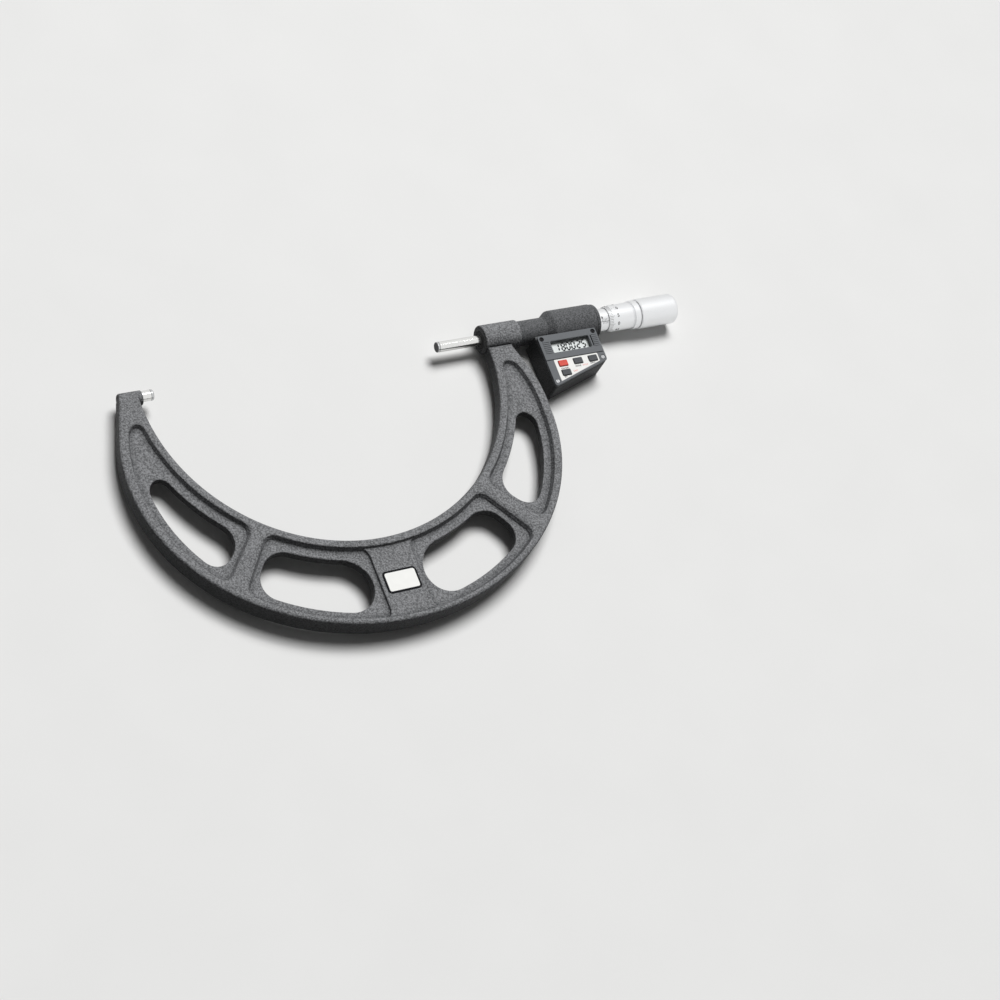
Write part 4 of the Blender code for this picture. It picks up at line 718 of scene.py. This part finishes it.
bm = bmesh.new()
outer = box_outline(0.0, -0.0070)
box_loops = [ring(bm, outer, i, -0.0112 + d) for i, d in quarter(0.0014, 5)]
box_loops.append(ring(bm, outer, 0.0, 0.0))
box_loops.append(ring(bm, outer, 0.0003, 0.0))
closed(bm, box_loops)
for vert in box_loops[-2]:
    vert.co.z = front_height(vert.co.y, 0.0026)
for vert in box_loops[-1]:
    vert.co.z = front_height(vert.co.y, 0.0023)
combine(casing, piece_from("display_box", bm, moulded_grey), "UNION")
bm = bmesh.new()
inner = box_outline(0.0012, -0.0112)
cavity = [ring(bm, inner, 0.0, -0.0100), ring(bm, inner, 0.0, 0.0100)]
closed(bm, cavity)
combine(casing, piece_from("cavity", bm, moulded_grey), "DIFFERENCE")
casing_bore = [(0.2240, 0.0), (0.2240, 0.004175), (0.2610, 0.004175)]
casing_bore += [(0.2610, 0.0090), (0.2900, 0.0090), (0.2900, 0.0)]
combine(casing, turned("casing_bore", casing_bore, moulded_grey), "DIFFERENCE")
settled(casing)
fit(casing, "frame_body", "casing_grey", "head_casing")

# Encoder: a fixed ring and a rotor disc of etched circuit board, and the rotor's steel hub, bronze
# bush, blackened collar and drive key. All of it sits inside the barrel.

# Circuit board: woven glass under a green solder mask, with the weave about 0.5 mm apart just showing.
solder_mask, tree, shader, place = start_finish("solder_mask", 0.35)
weave = add(tree, "ShaderNodeTexChecker", {"Vector": place, "Scale": 1 / 0.0005})
tracks = add(tree, "ShaderNodeTexNoise", {"Vector": place, "Scale": 1 / 0.0015, "Detail": 1.0})
crossed = {0: weave.outputs[1], 1: 0.15, 2: tracks.outputs[0]}
tone = add(tree, "ShaderNodeMath", crossed, operation="MULTIPLY_ADD")
greens = {0: tone.outputs[0], 6: colour("#244C30"), 7: colour("#3B6B49")}
mask = add(tree, "ShaderNodeMix", greens, data_type="RGBA")
tree.links.new(mask.outputs[2], shader.inputs["Base Color"])

# Blackened steel: an oxide skin over turned steel, dark, with worn paler spots.
black_oxide = mottled("black_oxide", 0.50, 0.0006, "#0D0D0E", "#222224", 3.0, specular=0.2)[0]

refinish(solder_mask, "encoder_stator", "encoder_rotor")
refinish(black_oxide, "rotor_collar", "drive_key")
refinish(ground_steel, "rotor_hub")
refinish(bronze, "rotor_bush")

# Sleeve, nuts and end cap: a satin-chromed sleeve stands in the barrel with the spindle nut inside
# it, an adjusting nut on its end, and a moulded cap that closes the barrel round it.

# Satin chrome: blasted before plating, so it is bright and almost white without sharp reflections.
chrome_tones = "#DCDDDE", "#EDEEEF"
satin_chrome, tree, shader, blast = mottled("satin_chrome", 0.48, 0.0004, *chrome_tones, 3.0, metallic=1.0)
satin = add(tree, "ShaderNodeMapRange", {"Value": blast.outputs[0], "To Min": 0.42, "To Max": 0.56})
relief = add(tree, "ShaderNodeBump", {"Height": blast.outputs[0], "Strength": 0.15, "Distance": 0.00004})
tree.links.new(satin.outputs[0], shader.inputs["Roughness"])
tree.links.new(relief.outputs[0], shader.inputs["Normal"])

sleeve_radius, sleeve_end = 0.0071, 0.3192
sleeve_profile = [(0.2800, 0.0057), (0.2800, sleeve_radius)]
sleeve_profile += [(sleeve_end, sleeve_radius), (sleeve_end, 0.0057)]
sleeve = turned("scale_sleeve", sleeve_profile, satin_chrome)
softened(sleeve, 0.0002)
fit(sleeve, "frame_body", "satin_chrome", "fixed_sleeve")
cap_profile = [(0.2818, 0.0074), (0.2818, 0.0087), (0.2878, 0.0087), (0.2878, 0.0104)]
cap_profile += [(0.2900 - i, 0.0106 - d) for i, d in quarter(0.0007, 4)]
cap_profile += [(0.2900, 0.0072), (0.2895, 0.0072)]
end_cap = turned("barrel_cap", cap_profile, moulded_grey)
settled(end_cap)
fit(end_cap, "frame_body", "casing_grey", "barrel_end_cap")
refinish(bronze, "spindle_nut")
refinish(ground_steel, "adjusting_nut")

lines_tree = bpy.data.node_groups.new("graduation_lines", "GeometryNodeTree")
for name, kind in (
    ("Count", "NodeSocketInt"),
    ("Start", "NodeSocketVector"),
    ("Pitch", "NodeSocketVector"),
    ("First Turn", "NodeSocketFloat"),
    ("Turn", "NodeSocketFloat"),
    ("Place", "NodeSocketVector"),
    ("Lean", "NodeSocketVector"),
    ("Size", "NodeSocketVector"),
    ("Finish", "NodeSocketMaterial"),
):
    lines_tree.interface.new_socket(name, in_out="INPUT", socket_type=kind)
lines_tree.interface.new_socket("Geometry", in_out="OUTPUT", socket_type="NodeSocketGeometry")
given = add(lines_tree, "NodeGroupInput", {}).outputs
row = add(
    lines_tree,
    "GeometryNodeMeshLine",
    {"Count": given["Count"], "Start Location": given["Start"], "Offset": given["Pitch"]},
)
line = add(lines_tree, "GeometryNodeMeshCube", {"Size": given["Size"]})
laid = add(
    lines_tree,
    "GeometryNodeTransform",
    {"Geometry": line.outputs[0], "Translation": given["Place"], "Rotation": given["Lean"]},
)
index = add(lines_tree, "GeometryNodeInputIndex", {})
turn = add(
    lines_tree,
    "ShaderNodeMath",
    {0: index.outputs[0], 1: given["Turn"], 2: given["First Turn"]},
    operation="MULTIPLY_ADD",
)
about_x = add(lines_tree, "ShaderNodeCombineXYZ", {"X": turn.outputs[0]})
copies = add(
    lines_tree,
    "GeometryNodeInstanceOnPoints",
    {"Points": row.outputs[0], "Instance": laid.outputs[0], "Rotation": about_x.outputs[0]},
)
solid = add(lines_tree, "GeometryNodeRealizeInstances", {"Geometry": copies.outputs[0]})
inked = add(
    lines_tree, "GeometryNodeSetMaterial", {"Geometry": solid.outputs[0], "Material": given["Finish"]}
)
add(lines_tree, "NodeGroupOutput", {0: inked.outputs[0]})


def graduated(name, **sizes):
    """Lines laid out by the tree above, as a plain mesh."""
    piece = bpy.data.objects.new(name, bpy.data.meshes.new(name))
    bpy.context.scene.collection.objects.link(piece)
    step = piece.modifiers.new("lines", "NODES")
    step.node_group = lines_tree
    for item in lines_tree.interface.items_tree:
        if item.name in sizes:
            step[item.identifier] = sizes[item.name]
    baked(piece)
    piece.data.materials.pop(index=0)
    return piece


index_turn = math.radians(38.0)
zero_x = 0.2979 - 0.005025
line_height = sleeve_radius - 0.00002
datum = graduated(
    "sleeve_datum_line",
    **{"Count": 1, "Start": (0.3045, 0.0, 0.0), "First Turn": index_turn},
    **{"Place": (0.0, 0.0, line_height), "Size": (0.0285, 0.00022, 0.00008), "Finish": black_ink},
)
fit(datum, "frame_body", "black_steel")
for name, count, start, span in (
    ("sleeve_whole_lines", 26, 0.0, 1.0),
    ("sleeve_half_lines", 25, 0.0005, -0.8),
    ("sleeve_long_lines", 6, 0.0, 1.5),
):
    pitch = 0.005 if count == 6 else 0.001
    shift = span * 0.00095 / sleeve_radius
    lines = graduated(
        name,
        **{"Count": count, "Start": (zero_x + start, 0.0, 0.0), "Pitch": (pitch, 0.0, 0.0)},
        **{"First Turn": index_turn - shift, "Place": (0.0, 0.0, line_height), "Finish": black_ink},
        **{"Size": (0.00018, abs(span) * 0.0019, 0.00008)},
    )
    fit(lines, "frame_body", "black_steel")


def letters(text, size, thick):
    """A word as a flat mesh about its own middle."""
    words = bpy.data.curves.new("words", "FONT")
    words.body = text
    words.size = size
    words.offset = size * 0.02
    words.align_x = "CENTER"
    words.align_y = "CENTER"
    words.extrude = thick
    words.resolution_u = 3
    holder = bpy.data.objects.new("words", words)
    bpy.context.scene.collection.objects.link(holder)
    bpy.context.view_layer.update()
    shown = holder.evaluated_get(bpy.context.evaluated_depsgraph_get())
    flat = bpy.data.meshes.new_from_object(shown)
    bpy.data.objects.remove(holder)
    return flat


def wrapped(name, marks, radius, size, finish):
    """Numbers on a turned piece: each is (text, x of its middle, turn about the axis)."""
    bm = bmesh.new()
    for text, x, turn in marks:
        flat = letters(text, size, 0.00003)
        for vert in flat.vertices:
            angle = vert.co.y / radius - turn
            out = radius + vert.co.z
            vert.co = (x + vert.co.x, out * math.sin(angle), out * math.cos(angle))
        bm.from_mesh(flat)
    return piece_from(name, bm, finish)


sleeve_numbers = wrapped(
    "sleeve_numbers",
    [(str(step * 5), zero_x + step * 0.005, index_turn - 0.36) for step in range(6)],
    sleeve_radius,
    0.0021,
    black_ink,
)
fit(sleeve_numbers, "frame_body", "black_steel")

# Thimble: satin-chromed like the sleeve, screwed to the spindle's end. Its bevelled edge has fifty
# lines with a number at every fifth, and a collar stands behind a groove.
thimble_profile = [(0.2979, 0.0074), (0.2979, 0.0077), (0.3017, 0.0083), (0.3154, 0.0083)]
thimble_profile += [(0.3157, 0.0080), (0.3164, 0.0080), (0.3164, 0.0087), (0.3167, 0.0090)]
thimble_profile += [(0.3202, 0.0090), (0.3205, 0.0087), (0.3205, 0.0080), (0.3400, 0.0080)]
thimble_profile += [(0.3400, 0.0033), (0.3314, 0.0033), (0.3314, 0.0074)]
thimble = turned("thimble_shell", thimble_profile, satin_chrome)
softened(thimble, 0.0001)
fit(thimble, "spindle_body", "satin_chrome", "thimble")
bevel_lean = math.atan(0.0006 / 0.0038)
division = math.tau / 50
for name, count, step, span in (("thimble_lines", 50, 1, 0.0024), ("thimble_long_lines", 10, 5, 0.0034)):
    x = 0.2981 + span / 2
    height = 0.0077 + (x - 0.2979) * math.tan(bevel_lean) - 0.00001
    lines = graduated(
        name,
        **{"Count": count, "First Turn": index_turn + 2.5 * division, "Turn": -step * division},
        **{"Place": (x, 0.0, height), "Lean": (0.0, -bevel_lean, 0.0), "Finish": black_ink},
        **{"Size": (span, 0.00020, 0.00008)},
    )
    fit(lines, "spindle_body", "black_steel")
thimble_numbers = wrapped(
    "thimble_numbers",
    [(str(n), 0.3041, index_turn - (n - 2.5) * division) for n in range(0, 50, 5)],
    0.0083,
    0.0030,
    black_ink,
)
fit(thimble_numbers, "spindle_body", "black_steel")

# Friction sleeve: a plain satin-chromed sleeve that slips on the thimble's tail, pushed by a wave
# spring and held by a slotted screw in the spindle's end.
friction_profile = [(0.3212, 0.0083), (0.3212, 0.0089), (0.3217, 0.0094)]
friction_profile += [(0.3482 - i, 0.0094 - d) for i, d in quarter(0.0025, 10)]
friction_profile += [(0.3482, 0.0042), (0.3480, 0.0040), (0.3453, 0.0040)]
friction_profile += [(0.3453, 0.0018), (0.3422, 0.0018), (0.3422, 0.0083)]
friction = turned("friction_shell", friction_profile, satin_chrome)
settled(friction)
fit(friction, "friction_body", "satin_chrome", "friction_sleeve")
screw_profile = [(0.3320, 0.0), (0.3320, 0.0015), (0.3456, 0.0015), (0.3456, 0.0037)]
screw_profile += [(0.3473, 0.0037), (0.3476, 0.0034), (0.3476, 0.0)]
end_screw = turned("end_screw_slotted", screw_profile, ground_steel, 72)
slot = bar("slot", (0.3468, -0.00045, -0.005), (0.3490, 0.00045, 0.005), ground_steel)
combine(end_screw, slot, "DIFFERENCE")
settled(end_screw)
fit(end_screw, "spindle_body", "ground_steel", "end_screw")
refinish(ground_steel, "friction_spring")

# Electronics in the display box: the circuit board with its key mat of black rubber, a button cell
# in a sprung clip, and two rubber strips that join the display to the board. None of it shows.
refinish(solder_mask, "circuit_board")
refinish(rubber, "key_mat", "lcd_strip_upper", "lcd_strip_lower")
refinish(ground_steel, "battery")
refinish(satin_chrome, "battery_clip")

# Display: a liquid crystal glass pressed between the board and a clear acrylic window in the bezel.
# Its black seven-segment figures show the gap between the measuring faces.

# Liquid crystal glass over a reflector: pale grey-green, with a fine silvery grain.
crystal_glass = mottled("crystal_glass", 0.22, 0.0003, "#EAF0EE", "#F8FBFA")[0]
refinish(crystal_glass, "lcd_module")

# Clear acrylic: a polished sheet with a few faint hairline smears, seen only in its shine.
clear_acrylic, tree, shader, place = start_finish("clear_acrylic", 0.05)
smear = add(tree, "ShaderNodeTexNoise", {"Vector": place, "Scale": 1 / 0.006, "Detail": 5.0})
sheen = add(tree, "ShaderNodeMapRange", {"Value": smear.outputs[0], "To Min": 0.03, "To Max": 0.12})
tree.links.new(sheen.outputs[0], shader.inputs["Roughness"])
shader.inputs["Base Color"].default_value = colour("#3A4142")
shader.inputs["Alpha"].default_value = 0.05
shader.inputs["IOR"].default_value = 1.49
refinish(clear_acrylic, "display_window")

lit = {"0": "abcdef", "1": "bc", "2": "abged", "5": "afgcd", "8": "abcdefg"}
figure_width, figure_height, stroke, figure_lean = 0.0022, 0.0048, 0.00098, 0.10
lcd_depth = 0.0034


def bars_of(figure):
    """Outlines of a figure's bars, from its lower left corner."""
    w, h, t = figure_width, figure_height, stroke / 2
    ends = {
        "a": ((0, h), (w, h)),
        "g": ((0, h / 2), (w, h / 2)),
        "d": ((0, 0), (w, 0)),
        "f": ((0, h / 2), (0, h)),
        "b": ((w, h / 2), (w, h)),
        "e": ((0, 0), (0, h / 2)),
        "c": ((w, 0), (w, h / 2)),
    }
    for letter in lit[figure]:
        start, stop = (Vector(end) for end in ends[letter])
        along = (stop - start).normalized()
        side = Vector((-along.y, along.x))
        start, stop = start + along * t * 0.3, stop - along * t * 0.3
        yield [
            start,
            start + (along - side) * t,
            stop - (along + side) * t,
            stop,
            stop - (along - side) * t,
            start + (along + side) * t,
        ]


bm = bmesh.new()
for figure, left in zip("180025", (0.0112, 0.0155, 0.0190, 0.0225, 0.0264, 0.0299)):
    for outline in bars_of(figure):
        sheared = [Vector((left + p.x + p.y * figure_lean, p.y - 0.0104)) for p in outline]
        printed(bm, [(sheared, 0.0)], -lcd_depth + 0.00001)
point = [Vector((0.0219 + x, -0.0110 + y)) for x, y in ((0, 0), (0.0006, 0), (0.0006, 0.0006), (0, 0.0006))]
printed(bm, [(point, 0.0)], -lcd_depth + 0.00001)
bmesh.ops.transform(bm, matrix=panel, verts=bm.verts)
figures = piece_from("display_figures", bm, black_ink)
fit(figures, "frame_body", "black_steel")

# Display bezel and keypad panel: two thin grey mouldings screwed to the box's front. The bezel has
# fine ribs on either side of its opening and is cut away round the barrel.

# Moulded plastic, a little paler than the casing, with a finer spark-eroded skin.
panel_grey, tree, shader, grit = mottled("panel_grey", 0.50, 0.0004, "#5F6164", "#727578", specular=0.2)
grit.inputs["Roughness"].default_value = 0.7
relief = add(tree, "ShaderNodeBump", {"Height": grit.outputs[0], "Strength": 0.25, "Distance": 0.00006})
tree.links.new(relief.outputs[0], shader.inputs["Normal"])


def plate(name, outline, bottom, top, edge, openings, finish):
    """A plate on the panel with a rounded upper edge. Each opening is (outline, lip, steps), where
    the steps are the (inset, height) of loops below the lip."""
    bm = bmesh.new()
    walls = [ring(bm, outline, 0.0, bottom)]
    walls += [ring(bm, outline, i, top - d) for i, d in quarter(edge, 4)[::-1]]
    loft(bm, walls)
    feet, mouths = [walls[0]], [walls[-1]]
    for opening, lip, steps in openings:
        sides = [ring(bm, opening, inset, height) for inset, height in steps]
        sides += [ring(bm, opening, -i, top - d) for i, d in quarter(lip, 4)[::-1]]
        loft(bm, sides)
        feet.append(sides[0])
        mouths.append(sides[-1])
    fill(bm, feet)
    fill(bm, mouths)
    bmesh.ops.transform(bm, matrix=panel, verts=bm.verts)
    return piece_from(name, bm, finish)


def screw_hole(x, y, floor):
    """A counterbored screw hole through the panel."""
    turns = [Matrix.Rotation(math.tau * step / 48, 2) for step in range(48)]
    outline = [Vector((x, y)) + turn @ Vector((screw_hole_radius, 0.0)) for turn in turns]
    return outline, 0.0002, [(0.0006, -panel_thick), (0.0006, floor), (0.0, floor)]


panel_thick, panel_corner, panel_edge, screw_hole_radius = 0.0020, 0.0016, 0.0004, 0.0015
opening = rectangle(0.0074, -0.0124, 0.0344, -0.0045, 0.0006)
bezel_outline = rounded(
    [(0.0, -bezel_height), (panel_width, -bezel_height), (panel_width, 0.0), (0.0, 0.0)],
    (0.0, 0.0, panel_corner, panel_corner),
)
bezel_openings = [(opening, 0.0003, [(0.0, -panel_thick)])]
bezel_openings += [screw_hole(x, -0.0023, -0.0015) for x in (0.0024, panel_width - 0.0024)]
bezel = plate("bezel_moulding", bezel_outline, -panel_thick, 0.0, panel_edge, bezel_openings, panel_grey)
clearance = [(0.2400, 0.0), (0.2400, 0.0113), (0.2900, 0.0113), (0.2900, 0.0)]
combine(bezel, turned("clearance", clearance, panel_grey), "DIFFERENCE")
slot_outline = rectangle(0.0354, -0.0122, 0.0362, -0.0046, 0.0002)
combine(bezel, plate("slot", slot_outline, -0.0012, 0.0010, 0.0001, [], panel_grey), "DIFFERENCE")
settled(bezel)
fit(bezel, "frame_body", "panel_grey", "display_bezel")
for name, x, span in (("bezel_ribs_left", 0.0043, 0.0046), ("bezel_ribs_right", 0.0383, 0.0034)):
    ribs = graduated(
        name,
        **{"Count": 7, "Start": (x, -0.0046, 0.0), "Pitch": (0.0, -0.00125, 0.0)},
        **{"Place": (0.0, 0.0, 0.0001), "Size": (span, 0.00055, 0.0005), "Finish": panel_grey},
    )
    ribs.data.transform(panel)
    softened(ribs, 0.0001)
    fit(ribs, "frame_body", "panel_grey")

key_width, key_height, key_corner = 0.0060, 0.003792, 0.0005
key_places = {
    "power": (0.0103, -0.020296),
    "mode": (0.02085, -0.020296),
    "zero": (0.0314, -0.020296),
    "set": (0.0103, -0.026588),
}


def key_outline(x, y, grow):
    """Outline of a key, or of the hole round it."""
    across, up = key_width / 2 + grow, key_height / 2 + grow
    return rectangle(x - across, y - up, x + across, y + up, key_corner + grow)


key_holes = [(key_outline(*place, 0.0003), 0.0001, [(0.0, -panel_thick)]) for place in key_places.values()]
keypad_outline = rounded(
    [
        (0.0, -left_height),
        (panel_width, -right_height),
        (panel_width, -bezel_height - 0.0003),
        (0.0, -bezel_height - 0.0003),
    ],
    (panel_corner, panel_corner, 0.0, 0.0),
)
keypad_openings = key_holes + [
    screw_hole(0.0024, 0.0028 - slant(0.0024), -0.0010),
    screw_hole(panel_width - 0.0024, 0.0028 - slant(panel_width - 0.0024), -0.0010),
]
keypad = plate("keypad_moulding", keypad_outline, -panel_thick, 0.0, panel_edge, keypad_openings, panel_grey)


def key_plate_outline(grow):
    """Outline of the white plate round the keys, or of the recess it lies in."""
    left, right, top = 0.0049 - grow, panel_width - 0.0055 + grow, -bezel_height - 0.0005 + grow
    lower_left, lower_right = (0.0015 - grow - slant(across) for across in (left, right))
    corners = [(left, lower_left), (right, lower_right), (right, top), (left, top)]
    return rounded(corners, [0.0004 + grow] * 4)


recess = plate("plate_recess", key_plate_outline(0.0001), -0.0005, 0.0020, 0.0001, [], panel_grey)
combine(keypad, recess, "DIFFERENCE")
settled(keypad)
fit(keypad, "frame_body", "panel_grey", "keypad_panel")

# Key plate: a white printed film round the four keys, in a shallow recess of the keypad panel.
# Small dark and red words stand beside each key.

# Red printing ink: thin enough that the white film shows through it.
red_ink = mottled("red_ink", 0.50, 0.0004, "#D98580", "#E8A9A2")[0]

film_openings = [(outline, 0.00005, [(0.0, -0.0004)]) for outline, lip, steps in key_holes]
key_film = plate("key_film", key_plate_outline(0.0), -0.0004, 0.0001, 0.0001, film_openings, white_lacquer)
settled(key_film)
fit(key_film, "frame_body", "white_plate", "key_plate")
dark_words = [("ON/OFF", 0.0103, -0.0237), ("MODE", 0.0197, -0.0237)]
dark_words += [("ZERO", 0.0302, -0.0232), ("SET", 0.0088, -0.0294)]
red_words = [("HOLD", 0.0248, -0.0237), ("UNIT", 0.0168, -0.0266)]
for name, finish, slot, words in (
    ("key_words_dark", black_ink, "black_steel", dark_words),
    ("key_words_red", red_ink, "key_red", red_words),
):
    bm = bmesh.new()
    for text, x, y in words:
        flat = letters(text, 0.0014, 0.00001)
        flat.transform(Matrix.Translation((x, y, 0.00011)))
        bm.from_mesh(flat)
    bmesh.ops.transform(bm, matrix=panel, verts=bm.verts)
    fit(piece_from(name, bm, finish), "frame_body", slot)

# Keys: one red and three grey, moulded in silk-matt plastic with dished tops. A flange stops each
# one under the panel, and it presses a dome of the key mat.

# Moulded key plastic in two colours: a fine even skin, smoothest where fingers press it.
key_finishes = {
    "key_grey": mottled("key_grey", 0.45, 0.0005, "#454749", "#56585B")[0],
    "key_red": mottled("key_red", 0.45, 0.0005, "#C9483F", "#DB6A60")[0],
}
for name, (x, y) in key_places.items():
    slot = "key_red" if name == "power" else "key_grey"
    outline = key_outline(x, y, 0.0)
    bm = bmesh.new()
    walls = [ring(bm, outline, -0.0005, -0.0029), ring(bm, outline, -0.0005, -0.0023)]
    walls.append(ring(bm, outline, 0.0, -0.0023))
    walls += [ring(bm, outline, i, 0.0009 - d) for i, d in quarter(0.00045, 5)[::-1]]
    walls += [ring(bm, outline, 0.0008, 0.00086), ring(bm, outline, 0.0012, 0.00080)]
    closed(bm, walls)
    bmesh.ops.transform(bm, matrix=panel, verts=bm.verts)
    key = piece_from("key_" + name + "_cap", bm, key_finishes[slot])
    fit(key, "key_" + name + "_body", slot, "key_" + name)

# Case screws: four small slotted screws that hold the panel to the box. Those in the bezel are
# blackened and sunk deep, those in the keypad are zinc plated and nearly level.

# Zinc plating: pale grey, dull and slightly cloudy.
zinc_plate = mottled("zinc_plate", 0.36, 0.0009, "#A6A7A9", "#C8C9CB", 3.0, metallic=1.0)[0]

refinish(black_oxide, "bezel_screw_left", "bezel_screw_right")
refinish(zinc_plate, "keypad_screw_left", "keypad_screw_right")

# Studio: a pale floor under a wide soft light from overhead, behind and to the right. Metals mirror
# the white surround and a weak strip lamp instead of that light, so they stay even.


def background_rays(tree):
    """1 for the rays that show the background: to the camera, in a reflection or through glass."""
    path = add(tree, "ShaderNodeLightPath", {}).outputs
    mirrored_or_direct = {0: path["Is Camera Ray"], 1: path["Is Glossy Ray"]}
    seen = add(tree, "ShaderNodeMath", mirrored_or_direct, operation="MAXIMUM")
    through_too = {0: seen.outputs[0], 1: path["Is Transmission Ray"]}
    seen = add(tree, "ShaderNodeMath", through_too, operation="MAXIMUM")
    return seen.outputs[0]


# Floor: pale matt paper with the faintest mottle, greyer in the light that it throws back.
paper, tree, shader, place = start_finish("floor_paper", 0.9)
mottle = add(tree, "ShaderNodeTexNoise", {"Vector": place, "Scale": 1 / 0.05, "Detail": 2.0})
tones = {0: mottle.outputs[0], 6: colour("#E0E0DF"), 7: colour("#E4E4E3")}
pale = add(tree, "ShaderNodeMix", tones, data_type="RGBA")
tones = {0: background_rays(tree), 6: colour("#565655"), 7: pale.outputs[2]}
shown = add(tree, "ShaderNodeMix", tones, data_type="RGBA")
tree.links.new(shown.outputs[2], shader.inputs["Base Color"])
bm = bmesh.new()
bmesh.ops.create_grid(bm, x_segments=1, y_segments=1, size=6.0)
bmesh.ops.translate(bm, vec=(0.1, 0.0, -0.0113), verts=bm.verts)
floor = piece_from("floor", bm, paper)

soft_lamp = bpy.data.lights.new("soft_lamp", "SUN")
soft_lamp.energy = 2.95
soft_lamp.angle = math.radians(30.0)
strip_lamp = bpy.data.lights.new("strip_lamp", "AREA")
strip_lamp.shape = "RECTANGLE"
strip_lamp.size, strip_lamp.size_y = 0.8, 0.2
strip_lamp.energy = 4.0
lamp_place, lamp_target = Vector((0.44, 0.50, 1.36)), Vector((0.12, -0.05, 0.0))
for lamp in (soft_lamp, strip_lamp):
    holder = bpy.data.objects.new(lamp.name, lamp)
    holder.location = lamp_place
    aim = lamp_target - lamp_place
    holder.rotation_euler = aim.to_track_quat("-Z", "Y").to_euler()
    holder.visible_glossy = lamp == strip_lamp
    bpy.context.scene.collection.objects.link(holder)

world = bpy.data.worlds.new("surround")
bpy.context.scene.world = world
world.use_nodes = True
tree = world.node_tree
strength = add(tree, "ShaderNodeMapRange", {"Value": background_rays(tree), "To Min": 0.07, "To Max": 1.0})
surround = tree.nodes["Background"]
surround.inputs["Color"].default_value = colour("#FFFFFF")
tree.links.new(strength.outputs[0], surround.inputs["Strength"])

camera = bpy.data.cameras.new("camera")
camera.lens = 80.292
camera.sensor_width = 36.0
camera.clip_start = 0.05
viewer = bpy.data.objects.new("camera", camera)
viewer.matrix_world = Matrix(
    (
        (0.87315, 0.17888, -0.45345, -0.408749),
        (-0.35808, 0.86654, -0.34768, -0.557459),
        (0.33074, 0.46595, 0.82067, 1.066653),
        (0.0, 0.0, 0.0, 1.0),
    )
)
bpy.context.scene.collection.objects.link(viewer)
bpy.context.scene.camera = viewer
bpy.context.scene.view_settings.view_transform = "Standard"
